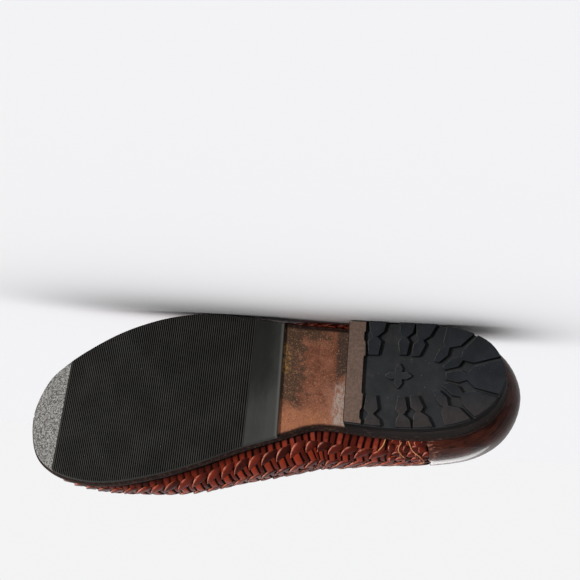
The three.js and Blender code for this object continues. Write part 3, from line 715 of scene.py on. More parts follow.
def fitted(stations, out, round_heel, round_toe):
    """The stations, drawn to the ends of the outline moved outward where an end is round."""
    low, high = stations[0], stations[-1]
    heel, toe = ends_at(out)
    first = heel + END_SHORT if round_heel else low
    last = toe - END_SHORT if round_toe else high
    bends = (max(low, BEND_REACH), high - BEND_REACH)
    return np.interp(stations, (low, *bends, high), (first, *bends, last))


def loft(bm, stations, rows, round_heel, round_toe):
    """A closed bar along the stations. Each row has a place across, out of the outline, and a height at x."""
    verts, station, row = grid(bm, len(stations) - 1, len(rows))
    points = np.zeros((len(verts), 3))
    for k, (across, out, high_at) in enumerate(rows):
        here = row % len(rows) == k
        x = fitted(stations, out, round_heel, round_toe)[station[here]]
        outer, inner = edges_at(x, out)
        y = (outer + inner) / 2 + across * (outer - inner) / 2
        points[here] = np.stack([x, y, high_at(x)], -1)
    roll(bm, verts, points, ROW_MERGE)
    fill_holes(bm)


def rounded(start, end, count, from_round, to_round):
    """Stations that close up towards a rounded end."""
    u = np.linspace(0, 1, count + 1)
    if from_round and to_round:
        u = (1 - np.cos(np.pi * u)) / 2
    elif from_round:
        u = u * u
    elif to_round:
        u = 2 * u - u * u
    return start + (end - start) * u


print("stations near a rounded end", np.round(rounded(0, LENGTH, 110, True, True)[:4], 2))

# %% Rows of a cross-section


def spread(count, out, high_at, start):
    """Rows across the shoe at one height, from start to the same place on the other side."""
    return [(across, out, high_at) for across in np.linspace(start, -start, count + 1)]


def section(first_face, side, second_face):
    """Rows once round: across one face, along the inner side, back across the other and along the outer side."""
    inner, outer = ([(end, *row) for row in rows] for end, rows in ((-1, side), (1, side[::-1])))
    return spread(*first_face) + inner + spread(*second_face) + outer


def curved_side(count, foot, top, swell, low_at, high_at):
    """Rows up a side from one height to another: how far out at its foot and top, and its swell between."""
    rows = []
    for u in np.linspace(0, 1, count):
        out = foot + (top - foot) * u + swell * math.sin(math.pi * u)
        rows.append((round(out, 4), lambda x, u=u: low_at(x) + (high_at(x) - low_at(x)) * u))
    return rows


print("rows across", [round(float(across), 2) for across, *_ in spread(4, 0, underside, 1)])

# %% [markdown]
# ## Outsole
# The outsole is a leather board. Its underside shows only at the waist, between the half sole and the heel; its
# edge is trimmed round, stained and burnished nearly black. An extruded outline would be flat, and this board
# follows the arch, so it is a loft. The material does the rest: bare leather below, rubbed and stained where it
# has been walked on, and the dark dressing up the edge. Each stain is a mask with a wandering border, placed in
# millimetres along and across the shoe.

# %% Outsole leather


def sole_leather():
    material, place = new_finish("sole_leather", Coat_Roughness=0.3, Specular_IOR_Level=0.03)
    x, y = place.part(0), place.part(1)
    grain = place.noise(2.0, 4, 0.75)
    cloud = place.noise(0.09, 4, 0.62)
    wander = place.noise(0.16, 5, 0.7) - 0.5

    def border(axis, wobble, low, high):
        """A stain's edge, from nothing at low to full at high; it wanders by a part of wobble."""
        return (axis + wander * wobble).step(low, high)

    pale = border(x, 24, 116, 104) * border(y, 16, 6, -10)
    outer_rim = border(y, 14, 22, 31) * border(x, 30, 104, 118)
    trodden = place.math("MAXIMUM", border(x, 34, 122, 130) * border(y, 20, -24, -12), outer_rim)
    ochre = border(x, 22, 132.6, 138) * border(y, 20, 0, 6) * border(y, 20, 24, 17)
    by_heel = border(x, 6, 107, 104.5)
    scratches = place.stretched(1.4, 0.5, 1).noise(0.5, 4, 0.75).step(0.38, 0.56)
    flecks = place.noise(0.9, 5, 0.8).step(0.53, 0.66)
    pores = place.stretched(1.2, 0.8, 1).noise(1.2, 5, 0.8).step(0.52, 0.64)
    rim = place.noise(0.5, 3, 0.6)
    dressing = (place.attribute("edge") + (rim - 0.5) * 0.3).step(0.42, 0.8)
    colour = stained(
        cloud.step(0.36, 0.66).over((98, 60, 46), (128, 82, 64)),
        (border(y, 20, -14, -27), 0.75, (150, 98, 71)),
        (pale, 0.6, (146, 104, 86)),
        (trodden, 0.86, (58, 48, 39)),
        (ochre * place.noise(0.5, 4, 0.7).step(0.42, 0.58), 1, (138, 104, 58)),
        (by_heel * border(y, 16, -2, 8), 0.85, (54, 48, 44)),
        (by_heel * border(y, 10, 2, -5) * scratches, 0.8, (158, 148, 140)),
        (flecks, 0.5, (190, 140, 104)),
        (pores, 0.62, (40, 29, 24)),
        (dressing, 1, rim.step(0.45, 0.75).over((28, 19, 16), (62, 42, 35))),
    )
    rough = 0.72 - dressing * 0.12 + grain * 0.12
    return feed(material, grain * 0.7 + cloud * 0.4, 0.22,
                Base_Color=colour, Roughness=rough, Coat_Weight=dressing * 0.05)


SOLE_LEATHER = sole_leather()

# %% Outsole board
EDGE_FOOT, EDGE_TOP, EDGE_ROLL = 0.9, 1.5, 0.9
BOARD_OUT, SEAT_OUT = 0.4, 0.6
DRESSING_REACH = 5.0  # how far the stain of the edge can run in over the underside
DRESSING_HIGH = 0.6  # the height over the underside at which the stain is complete


def seat(x):
    """Height of the outsole's upper face."""
    return underside(x) + OUTSOLE_THICK


bm = blank("edge")
edge = curved_side(7, EDGE_FOOT, EDGE_TOP, EDGE_ROLL, underside, seat)
rows = section((14, BOARD_OUT, underside, 0.985), edge, (4, SEAT_OUT, seat, -0.98))
loft(bm, rounded(0, LENGTH, 110, True, True), rows, True, True)
points = points_of(bm.verts)
height = points[:, 2] - underside(points[:, 0])
outer, inner = edges_at(points[:, 0], BOARD_OUT)
from_rim = np.minimum(outer - points[:, 1], points[:, 1] - inner)
note(bm, bm.verts, edge=np.clip(np.maximum(height / DRESSING_HIGH, 1 - from_rim / DRESSING_REACH), 0, 1))
finish("outsole_board", bm, SOLE_LEATHER, "outsole", sharp=50)

# %% [markdown]
# ## Half sole
# A sheet of rubber is glued under the forefoot. Fine ribs run straight across it, a plain bar crosses it behind
# them, and the toe has been ground down in wear. A bump could draw the ribs, but these are real: every rib has four
# stations of the loft, so the light catches them one by one.

# %% Ribbed rubber
HALF_SOLE_START, BAR_FRONT, TOE_BEVEL_START = 139.0, 158.0, 283.0
BLUR = 0.4  # half the width of the border between two finishes


def half_sole_rubber():
    material, place = new_finish("half_sole_rubber", Specular_IOR_Level=0.1)
    x, y = place.part(0), place.part(1)
    groove = place.attribute("groove")
    bevel = x.step(TOE_BEVEL_START - BLUR, TOE_BEVEL_START + BLUR)
    bar = x.step(BAR_FRONT + BLUR, BAR_FRONT - BLUR / 2)
    # painted highlight: a paler band along the half sole's rear lip
    lip_highlight = (x - y * 0.025).step(HALF_SOLE_START + 2.4, HALF_SOLE_START + 0.4)
    grain = place.noise(3.5, 3, 0.7)
    speck = place.noise(1.1, 2, 0.5).step(0.74, 0.78)
    scuff = place.stretched(0.5, 0.12, 0.5).noise(0.8, 3, 0.6)
    # painted shade and light with real scuffs: the bar is darker towards the toe and the outer side, lighter towards
    # the heel and the inner side
    painted_shade_and_scuff = y.step(4, -30) * 0.45 + x.step(150, 141) * 0.3 + scuff * 0.35
    plain = painted_shade_and_scuff.step(0.1, 0.9).over((30, 30, 29), (57, 57, 55))
    ground = place.noise(1.0, 4, 0.75).step(0.4, 0.62).over((56, 55, 53), (142, 140, 136))
    colour = stained(
        place.noise(0.05, 4, 0.6).step(0.35, 0.7).over((44, 43, 41), (53, 52, 49)),
        # painted shade: the bottoms of the grooves between the ribs are painted nearly black
        (groove, 1, (2, 2, 2)),
        (speck * (1 - groove), 0.8, (130, 128, 120)),
        (bar, 1, plain),
        (lip_highlight, 0.7, (84, 84, 80)),
        (bevel, 1, ground),
    )
    rough = 0.62 + grain * 0.2 + bevel * 0.12 - bar * 0.08
    return feed(material, grain * (0.4 + bevel * 1.2), 0.12, Base_Color=colour, Roughness=rough)


HALF_SOLE_RUBBER = half_sole_rubber()

# %% Stations of the ribs
HALF_SOLE_THICK, BAR_DROP, TOE_BEVEL_LEFT = 3.0, 0.5, 0.9
RIB_PITCH, RIB_DEPTH = 1.4, 0.5
RIB_PROFILE = ((0, 0), (0.52, 0), (0.7, 1), (1.22, 1))  # place along a rib, and share of its depth
FIRST_RIB = 0.3  # from the bar's front
REAR_ROUND, BAR_REAR, BAR_SHORT = 0.35, 141.2, 0.4

rib_starts = np.arange(BAR_FRONT + FIRST_RIB, TOE_BEVEL_START - RIB_PITCH, RIB_PITCH)
rib_stations = (rib_starts[:, None] + np.array([place for place, _ in RIB_PROFILE])).ravel()
rib_depths = np.tile([sunk for _, sunk in RIB_PROFILE], len(rib_starts))
stations = np.concatenate([
    [HALF_SOLE_START, HALF_SOLE_START + REAR_ROUND], np.linspace(BAR_REAR, BAR_FRONT - BAR_SHORT, 8), [BAR_FRONT],
    rib_stations,
    rounded(TOE_BEVEL_START, LENGTH, 16, False, True),
])
print(len(rib_starts), "ribs")

# %% Half sole
BAR_SLANT, BAR_HALF_WIDTH = 0.9, 36.0  # the bar's outer end lies this far forward of its middle
REAR_LIFT = 0.3
SHOULDER = 0.82  # height of the rounded lower edge, as a share of the rubber
TREAD_BELOW = 0.3  # a point this far under the glue line is on the tread
SHOULDER_OUT, GLUE_OUT = 0.15, 0.6
SLACK = 0.05  # a station is met within this


def rubber_left(x):
    """Thickness of the half sole along the shoe, between its ribs' tops and the outsole."""
    ground = np.clip((x - TOE_BEVEL_START) / (LENGTH - TOE_BEVEL_START), 0, 1)
    thick = HALF_SOLE_THICK - (HALF_SOLE_THICK - TOE_BEVEL_LEFT) * ground
    return np.where(x < BAR_FRONT + SLACK, HALF_SOLE_THICK - BAR_DROP, thick)


def groove_at(x):
    return np.interp(x, rib_stations, rib_depths, left=0, right=0)


def glue_line(x):
    return underside(x) - FIT_GAP


def tread(x):
    return glue_line(x) - rubber_left(x) + RIB_DEPTH * groove_at(x) + REAR_LIFT * (x < HALF_SOLE_START + SLACK)


def shoulder(x):
    return glue_line(x) - rubber_left(x) * SHOULDER


bm = blank("groove")
side = [(SHOULDER_OUT, shoulder), (GLUE_OUT, glue_line)]
loft(bm, stations, section((16, 0.0, tread, 0.992), side, (3, GLUE_OUT, glue_line, -0.9)), False, True)
for vert in bm.verts:
    before = vert.co.x
    fade = float(1 - smoothstep(before, HALF_SOLE_START, BAR_FRONT))
    vert.co.x += BAR_SLANT * vert.co.y / BAR_HALF_WIDTH * fade
    vert.co.z += float(underside(vert.co.x) - underside(before))
points = points_of(bm.verts)
is_tread = points[:, 2] < glue_line(points[:, 0]) - TREAD_BELOW
note(bm, bm.verts, groove=groove_at(points[:, 0]) * is_tread)
finish("half_sole_ribbed", bm, HALF_SOLE_RUBBER, "half_sole", sharp=25)

# %% [markdown]
# ## Heel block
# The heel is a block of leather lifts with a rubber top piece under it. The block's sides hollow slightly between
# the seat and the rubber, so a loft fits it better than a plain extrusion. Its edge is stained like the outsole's,
# and the layers of the lifts show as faint level lines.

# %% Leather of the lifts


def edge_leather():
    material, place = new_finish("edge_leather", Specular_IOR_Level=0.015)
    lifts = place.stretched(0.03, 0.03, 1).noise(1.1, 3, 0.6)
    cloud = place.noise(0.2, 4, 0.65)
    colour = stained(
        lifts.step(0.35, 0.7).over((22, 19, 19), (40, 33, 31)),
        (cloud.step(0.55, 0.72), 0.5, (70, 60, 54)),
    )
    return feed(material, lifts * 0.6 + cloud * 0.4, 0.2, Base_Color=colour, Roughness=0.42 + cloud * 0.2)


EDGE_LEATHER = edge_leather()

# %% Heel block
HEEL_BREAST, TOP_PIECE_HIGH = 97.0, 8.0
BLOCK_OUT, BLOCK_FOOT, BLOCK_TOP, BLOCK_HOLLOW = 0.4, 0.6, 1.5, 0.25


def block_foot(x):
    return TOP_PIECE_HIGH + FIT_GAP + 0 * x


bm = blank()
side = curved_side(6, BLOCK_FOOT, BLOCK_TOP, -BLOCK_HOLLOW, block_foot, glue_line)
rows = section((6, BLOCK_OUT, block_foot, 0.99), side, (6, BLOCK_OUT, glue_line, -0.99))
loft(bm, rounded(0, HEEL_BREAST, 40, True, False), rows, True, False)
finish("heel_block", bm, EDGE_LEATHER, "heel_stack", sharp=40)

# %% [markdown]
# ## Heel top piece
# The rubber under the heel has lugs that stand 3 mm proud. It has exactly the CAD's shape, so a copy of that mesh
# is merged, its flat faces are dissolved into whole ones and its edges are bevelled: a moulded edge is never quite
# sharp, and the thin bevel is what catches the light. An inset gives each lug a narrow rim, which is painted pale as
# a highlight on the side towards the toe and the outer side, and the walls between the lugs are noted so that they
# can be painted dark as shade.

# %% Heel rubber


def heel_rubber():
    material, place = new_finish("heel_rubber", Specular_IOR_Level=0.03)
    x, y, z = (place.part(axis) for axis in range(3))
    tops = z.step(0.7, 0.05)
    cloud = place.noise(0.07, 4, 0.6)
    grain = place.noise(3.0, 3, 0.7)
    inner_side, front_bar = y.step(-6, -26), x.step(84.6, 87)
    dust = tops * place.math("MINIMUM", inner_side * 0.15 + front_bar, 1.0)
    film = place.noise(0.55, 5, 0.75).step(0.38, 0.62)
    colour = stained(
        cloud.step(0.3, 0.7).over((29, 31, 33), (37, 39, 42)),
        (dust * (0.4 + cloud * 0.4 + film * 0.42), 1, (97, 79, 69)),
        ((1 - tops) * (0.15 + place.noise(0.1, 3, 0.6).step(0.4, 0.75) * 0.24), 1, (62, 60, 58)),
        (place.noise(0.9, 2, 0.5).step(0.73, 0.77), 0.7, (130, 126, 118)),
        # painted highlight: the lugs' rims on the side towards the toe and the outer side are painted pale
        (place.attribute("worn") * place.noise(0.5, 3, 0.6).step(0.3, 0.55), 0.85, (98, 97, 92)),
        # painted shade: the walls between the lugs are painted nearly black
        (place.attribute("wall"), 0.9, (5, 5, 6)),
        # painted shade: the rubber's side above the tread is painted darker
        (z.step(3.25, 3.6), 1, (15, 13, 12)),
    )
    return feed(material, grain, 0.1, Base_Color=colour, Roughness=0.62 + grain * 0.2)


HEEL_RUBBER = heel_rubber()

# %% Lugs with soft edges
LUG_BEVEL = 0.35
FLAT_LIMIT, CORNER_LIMIT = math.radians(2), math.radians(40)
BEVEL = dict(offset_type="OFFSET", affect="EDGES", segments=2, profile=0.5, material=-1, clamp_overlap=True)


def corners_over(bm, angle):
    return [edge for edge in bm.edges if edge.calc_face_angle(0) > angle]


bm = blank("worn", "wall")
bm.from_mesh(frame["nodes"]["heel_top_piece"].data)
bmesh.ops.remove_doubles(bm, verts=bm.verts, dist=1e-6)
bm.transform(LAY.inverted())
bmesh.ops.dissolve_limit(bm, angle_limit=FLAT_LIMIT, verts=bm.verts, edges=bm.edges)
bmesh.ops.bevel(bm, geom=corners_over(bm, CORNER_LIMIT), offset=LUG_BEVEL, **BEVEL)
print("heel tread", len(bm.faces), "faces after the bevel")

# %% Rims and walls of the lugs
HIGHLIGHT_RIM, TREAD_DEEP = 0.5, 2.8
UPRIGHT, FACING_DOWN = 0.4, -0.95  # limits for the upward part of a face's normal
PLUS_SPOT, PLUS_REACH = Vector((64.6, 0)), 9.0
# the lugs' rims are painted pale as a highlight on the side that faces this way
HIGHLIGHT_SIDE, HIGHLIGHT_GAIN = Vector((0.8, 0.6, 0)), 2.5

# the walls between the lugs are noted, to be painted dark as shade
walls = {vert for face in bm.faces if abs(face.normal.z) < UPRIGHT for vert in face.verts}
note(bm, bm.verts, wall=[vert in walls and vert.co.z < TREAD_DEEP for vert in bm.verts])
tops = [face for face in bm.faces if face.normal.z < FACING_DOWN and face.calc_center_median().z < TREAD_DEEP]
plus = [face for face in tops if (face.calc_center_median().xy - PLUS_SPOT).length < PLUS_REACH]
tops = [face for face in tops if face not in plus] + bmesh.ops.dissolve_faces(bm, faces=plus)["region"]
rims = {vert for face in tops for vert in face.verts}
# painted highlight: how much each rim point faces the side that is painted pale
highlit = {vert: max(0.0, min(1.0, HIGHLIGHT_GAIN * HIGHLIGHT_SIDE.dot(vert.normal))) for vert in rims}
note(bm, bm.verts, worn=[highlit.get(vert, 0.0) for vert in bm.verts])
bmesh.ops.inset_region(bm, faces=tops, thickness=HIGHLIGHT_RIM, use_even_offset=False)
note(bm, [vert for face in tops for vert in face.verts], worn=0.0)
bmesh.ops.triangulate(bm, faces=[face for face in bm.faces if len(face.verts) > 4])
finish("heel_tread", bm, HEEL_RUBBER, "heel_top_piece", sharp=30, recalculate=False)

# %% [markdown]
# ## Insole
# Inside the shoe lies a thin leather sock. It could be a padded cushion, but it is thin and hardly seen, so a plain
# loft with a rounded edge is enough, with the soft darkening that a foot leaves.

# %% Insole
SOCK_HIGH, SOCK_SHOULDER = 2.4, 1.7
SOCK_END = 4.3
SOCK_OUT, SOCK_EDGE_OUT = -4.0, -3.6


def insole_leather():
    material, place = new_finish("insole_leather")
    grain = place.noise(1.8, 4, 0.7)
    colour = stained(
        place.noise(0.06, 4, 0.6).step(0.3, 0.7).over((112, 72, 46), (158, 112, 74)),
        (grain.step(0.6, 0.8), 0.3, (80, 52, 34)),
    )
    return feed(material, grain, 0.15, Base_Color=colour, Roughness=0.5 + grain * 0.2)


def sock_at(lift):
    """Height of the sock's rows over the outsole's upper face."""
    return lambda x: seat(x) + FIT_GAP + lift


bm = blank()
side = [(SOCK_EDGE_OUT, sock_at(SOCK_SHOULDER)), (SOCK_EDGE_OUT, sock_at(0))]
rows = section((8, SOCK_OUT, sock_at(SOCK_HIGH), 0.97), side, (3, SOCK_OUT, sock_at(0), -0.9))
loft(bm, rounded(SOCK_END, LENGTH - SOCK_END, 60, True, True), rows, True, True)
finish("insole_sock", bm, insole_leather(), "insole", sharp=50)

# %% [markdown]
# ## Upper: backing and lining
# Under the weave lies a thin leather backing, coloured nearly black as painted shade in the gaps, and inside it the
# lining. A solidified sheet would fold over itself where the vamp is pinched, so each is one sheet that goes up the
# outside of its own wall, turns over the top and comes down the inside. At the ridge of the vamp both sides meet, so
# the faces over the ridge are taken out there and merging the doubled points closes the toe.

# %% Backing and lining
ROUND_COLUMNS, SHELL_ROWS = 220, 36
RIDGE_MERGE = 0.02


def plain_leather(name, dark, light, rough):
    material, place = new_finish(name, Specular_IOR_Level=0.15)
    cloud = place.noise(0.1, 4, 0.6)
    grain = place.noise(2.0, 4, 0.7)
    colour = cloud.step(0.3, 0.7).over(dark, light)
    return feed(material, grain, 0.12, Base_Color=colour, Roughness=rough + grain * 0.2)


def wall_shell(outside, inside):
    """A closed shell on the wall, between two distances from it."""
    made = blank("top")
    last = 2 * SHELL_ROWS + 2
    verts, column, row = grid(made, ROUND_COLUMNS, last)
    a = 2 * column / ROUND_COLUMNS
    outer = (row <= SHELL_ROWS) | (row == last)
    part = np.where(row == last, 0, np.where(outer, row, last - 1 - row)) / SHELL_ROWS
    on_ridge = np.abs(a - 1) <= 1 - THROAT_SHARE
    note(made, verts, top=on_ridge & np.isin(row, (SHELL_ROWS, SHELL_ROWS + 1)))
    move(verts, on_wall(a, part * wall_length(a), np.where(outer, outside, inside)))
    layer = made.verts.layers.float["top"]
    over_ridge = [face for face in made.faces if all(vert[layer] for vert in face.verts)]
    bmesh.ops.delete(made, geom=over_ridge, context="FACES")
    bmesh.ops.remove_doubles(made, verts=made.verts, dist=RIDGE_MERGE)
    return made


# the backing is nearly black: painted shade in the gaps between the strips
BACKING = plain_leather("backing_leather", (14, 5, 4), (26, 9, 6), 0.8)
LINING = plain_leather("lining_leather", (120, 80, 54), (160, 114, 80), 0.5)
finish("upper_backing", wall_shell(-0.3, -1.1), BACKING, "upper", sharp=60)
finish("upper_lining", wall_shell(-1.2, -2.0), LINING, "upper", sharp=60)

# %% [markdown]
# ## Weave: the upright strips
# Strips of leather stand side by side round the shoe, about 4 mm apart. Rows of laces are twined through them.
# Between two rows every second strip comes forward as a broad tab and the ones between fall back. A texture could
# show this from afar, but its edges would be flat against the light. So a strip is a sheet rolled into a flat bar;
# its width, height and dips are read from the place along it.

# %% Where the rows lie
STRIPS_EACH_SIDE = 64
STRIPS = 2 * STRIPS_EACH_SIDE
STRIP_PITCH = 4.2
TWINE_ROWS = 6
FIRST_TWINE, SECOND_TWINE, TWINE_HALF = 10.5, 25.0, 2.8
WAIST_LIFT = 3.2  # the first row lies higher beside the heel and the waist
COLLAR_MARGIN = 5
WAIST_ENDS, COLLAR_ENDS = (0.34, 0.42), (0.46, 0.56)  # shares of the way to the toe
draw = random.Random(11)


def strip_round(s):
    """Place round the shoe of strip number s, counted from the counter's outer edge."""
    return COUNTER_SHARE + (1 - COUNTER_SHARE) * np.asarray(s, float) / STRIPS_EACH_SIDE


def to_toe(s):
    """How far a strip stands from the heel's back, 0, to the tip of the toe, 1, on both sides."""
    return 1 - np.abs(1 - strip_round(s))


def strip_length(s):
    return wall_length(strip_round(s))


def twine_height(s, row):
    """Middle of a twined row, in millimetres up the wall."""
    margin = COLLAR_MARGIN * (1 - smoothstep(to_toe(s), *COLLAR_ENDS))
    spacing = (strip_length(s) - margin - 2 * TWINE_HALF - SECOND_TWINE) / (TWINE_ROWS - 2)
    first = FIRST_TWINE + WAIST_LIFT * (1 - smoothstep(to_toe(s), *WAIST_ENDS))
    return np.where(row == 0, first, SECOND_TWINE + (row - 1) * spacing)


def spacing_at(s, distance):
    """Distance between strips at a height, in millimetres."""
    here = on_wall(strip_round(s), distance, 0)
    ahead = on_wall(strip_round(np.asarray(s) + 0.5), distance, 0)
    return 2 * np.linalg.norm(ahead - here, axis=-1)


print("rows at the toe", [round(float(twine_height(STRIPS_EACH_SIDE, row)), 1) for row in range(TWINE_ROWS)])

# %% Leather of the strips


def strip_leather():
    material, place = new_finish("woven_strip_leather", Coat_Roughness=0.2, Specular_IOR_Level=0.05)
    tone, rim, band, low = (place.attribute(name) for name in ("tone", "rim", "band", "low"))
    cloud = place.noise(0.25, 3, 0.6)
    grain = place.noise(3.2, 4, 0.7)
    # painted shade: dark at a strip's sides, between the strips, and near the sole's edge
    shade = rim.step(0.55, 0.95)
    polish = low * (1 - shade) * tone.step(0.3, 0.6)
    # painted highlight: a pale gleam down the middle of the strips near the sole at the waist
    gleam = polish * rim.step(0.42, 0.1) * place.noise(0.4, 3, 0.6).step(0.36, 0.6)
    colour = stained(
        (tone * 0.65 + cloud * 0.5).step(0.2, 0.95).over((66, 20, 13), (124, 42, 25)),
        # painted light and shade: forward tabs are painted lighter and fallen-back strips darker
        (band.step(0, 1), 0.6, (134, 48, 27)),
        (band.step(0, -1), 0.5, (58, 17, 11)),
        (shade, 0.94, (14, 5, 4)),
        (gleam, 1, (190, 118, 100)),
    )
    rough = 0.32 + grain * 0.18 + shade * 0.3
    return feed(material, grain * 0.6 + cloud * 0.4, 0.12,
                Base_Color=colour, Roughness=rough, Coat_Weight=polish * 0.6)


STRIP_LEATHER = strip_leather()

# %% Rows along a strip
TAB, TUCKED = (0.95, 0.52), (0.45, 0.36)  # raise, and half width in strips: forward and fallen back
SOLE_TAB, SOLE_TUCKED = (0.85, 0.47), (0.55, 0.4)  # the same between the sole and the first row
SOLE_FOREFOOT = (0.55, 0.47)  # what both become there in front
CROWDED = (0.6, 0.42)  # what all become where the strips crowd together
UNDER_TWINE = (0.12, 0.36)
FOREFOOT = (0.46, 0.58)  # where it begins, as shares of the way to the toe
STRIP_ROOM = (1.2, 2.6)  # millimetres between strips: crowded, and free
LIFT_VARIES, WIDTH_VARIES = (-0.08, 0.12), (0.94, 1.06)
SOLE_PARTS, BAND_PARTS = (0.0, 0.3, 0.6, 0.82), (0.22, 0.42, 0.6, 0.8)
BOW_ENDS, BOW_MIDDLE = 0.72, 0.28
STRIP_START = 0.2


def strip_rows(s, over_ridge):
    """Rows along one strip: distance, raise, half width in strips and how much of a tab it is."""
    length = float(strip_length(s))
    middles = [float(twine_height(s, row)) for row in range(TWINE_ROWS)]
    forefoot = float(smoothstep(to_toe(s), *FOREFOOT))
    rows = []
    start = STRIP_START
    for band in range(TWINE_ROWS + 1):
        end = middles[band] if band < TWINE_ROWS else length
        forward = (band % 2 == 0) == (s % 2 == 0)
        room = float(smoothstep(spacing_at(s, (start + end) / 2), *STRIP_ROOM))
        raised, half = TAB if forward else TUCKED
        kind = 1.0 if forward else -1.0
        if band == 0:
            raised, half = SOLE_TAB if forward else SOLE_TUCKED
            raised += (SOLE_FOREFOOT[0] - raised) * forefoot
            half += (SOLE_FOREFOOT[1] - half) * forefoot
            kind = 0.0
        raised = CROWDED[0] + (raised - CROWDED[0]) * room
        half = CROWDED[1] + (half - CROWDED[1]) * room
        lift = draw.uniform(*LIFT_VARIES)
        half *= draw.uniform(*WIDTH_VARIES)
        for part in BAND_PARTS if band else SOLE_PARTS:
            bow = 4 * part * (1 - part)
            rows.append((start + (end - start) * part, raised * (BOW_ENDS + BOW_MIDDLE * bow) + lift, half, kind))
        if band < TWINE_ROWS:
            rows.append((end, *UNDER_TWINE, 0.0))
        start = end
    if over_ridge:
        rows.append((length, *rows[-1][1:]))
    return rows


print("a strip's first two bands are", FIRST_TWINE, "and", SECOND_TWINE - FIRST_TWINE, "mm long")

# %% Strips round the shoe
STRIP_LEAN = (-0.25, 0.2, 0.1)  # towards the toe: at the sole, the first row and the second, in strips
# once round a strip's section: across it, and up
STRIP_RING = np.array(((-1, 0), (-0.86, 0.72), (-0.4, 1), (0.4, 1), (0.86, 0.72), (1, 0), (0.5, -0.2), (-0.5, -0.2)))
STRIP_SHORT = 2.5  # a strip ends this far under the collar's edge
SOLE_SHADE = 12.0  # painted shade under the sole's edge darkens the strips over a part of this, more so in front
SHADE_IN_FRONT, SHADE_GROWS, SHADE_RIM = 1.4, (0.42, 0.56), 0.95
FLAT_TOP, TOP_RIM = 0.99, 0.6
POLISH_HIGH, POLISH_ENDS = 6, (0.4, 0.5)
DRIFT, DRIFT_WAVE = 0.07, 0.2  # a strip wanders sideways a little
RING_EDGE, RING_UNDER = -0.1, -0.15  # how deep the sides and the back of a strip lie in the wall


def add_strip(bm, s):
    """One strip, from the sole up to the collar, or over the ridge and down the other side."""
    share = float(to_toe(s))
    over_ridge = share > THROAT_SHARE
    total = float(strip_length(s))
    rows = np.array(strip_rows(s, over_ridge))
    if over_ridge:
        back = np.array(strip_rows(STRIPS - s, False))[::-1]
        total += float(strip_length(STRIPS - s))
        back[:, 0] = total - back[:, 0]
        rows = np.vstack([rows, back])
    else:
        rows = rows[rows[:, 0] < total - STRIP_SHORT]
    verts, column, row = grid(bm, len(STRIP_RING), len(rows) - 1)
    tone = draw.random()
    drift = draw.uniform(-DRIFT, DRIFT)
    toeward = 1 if s <= STRIPS_EACH_SIDE else -1
    across, high = STRIP_RING[column % len(STRIP_RING)].T
    distance, lift, half, kind = rows[row].T
    from_sole = np.minimum(distance, total - distance) if over_ridge else distance
    lean = toeward * np.interp(from_sole, (0, FIRST_TWINE, SECOND_TWINE), STRIP_LEAN)
    side = s + lean + drift * np.sin(distance * DRIFT_WAVE) + across * half
    raised = np.where(high > 0, RING_EDGE + (lift - RING_EDGE) * high, RING_UNDER + high)
    rim = np.where(high >= FLAT_TOP, np.abs(across) * TOP_RIM, np.abs(across))
    # painted shade: rim grows near the sole, so the strips are painted dark there
    shade_reach = SOLE_SHADE * (1 + SHADE_IN_FRONT * smoothstep(share, *SHADE_GROWS))
    near_sole = 1 - smoothstep(from_sole, POLISH_HIGH, FIRST_TWINE)
    rim = np.maximum(rim, SHADE_RIM - from_sole / shade_reach)
    note(bm, verts, tone=tone, rim=rim, band=kind, low=near_sole * (1 - smoothstep(share, *POLISH_ENDS)))
    roll(bm, verts, on_wall(strip_round(side), distance, raised))


bm = blank("tone", "rim", "band", "low")
for number in range(1, STRIPS):
    if number <= STRIPS_EACH_SIDE or to_toe(number) <= THROAT_SHARE:
        add_strip(bm, number)
fill_holes(bm, sides=12)
finish("weave_strips", bm, STRIP_LEATHER, "upper", sharp=70)

# %% [markdown]
# ## Weave: the twined laces
# Each twined row looks like a rope: slanting leaves, two strips long, whose broad heads lie over the tails of the
# leaves before them. A twisted curve would give an even rope, and this one is cut from flat laces, so each turn is
# one leaf: a small sheet bent into a lens, its underside closed with one face. The head points to the toe on the
# inner side and climbs up the wall. Beside the counter the row ends in a patch of small knots, made of the same
# leaf cut short.

# %% Leather of the laces


def twine_leather():
    material, place = new_finish("woven_twine_leather", Coat_Roughness=0.15, Specular_IOR_Level=0.05)
    tone, rim, head, low = (place.attribute(name) for name in ("tone", "rim", "head", "low"))
    cloud = place.noise(0.3, 3, 0.6)
    grain = place.noise(3.2, 4, 0.7)
    # painted highlight: the leaf's edge towards the sole, near its head, is painted pale
    worn = low.step(0.5, 1.0) * head.step(-0.5, 0.2) * place.noise(0.35, 3, 0.6).step(0.3, 0.6)
    raw = rim.step(0.86, 1.0) * place.noise(0.4, 3, 0.6).step(0.44, 0.62)
    colour = stained(
        (tone * 0.6 + cloud * 0.5).step(0.2, 0.9).over((48, 16, 12), (98, 34, 23)),
        # painted shade: a leaf's tail, where it runs under the next leaf's head, is painted dark
        (head.step(-0.1, -0.9), 0.7, (26, 9, 7)),
        (worn, 0.85, (204, 132, 112)),
        (raw, 0.8, (176, 84, 44)),
    )
    rough = 0.3 + grain * 0.15 + raw * 0.25
    return feed(material, grain * 0.6 + cloud * 0.4, 0.1,
                Base_Color=colour, Roughness=rough, Coat_Weight=0.015 + worn * 0.15)


TWINE_LEATHER = twine_leather()

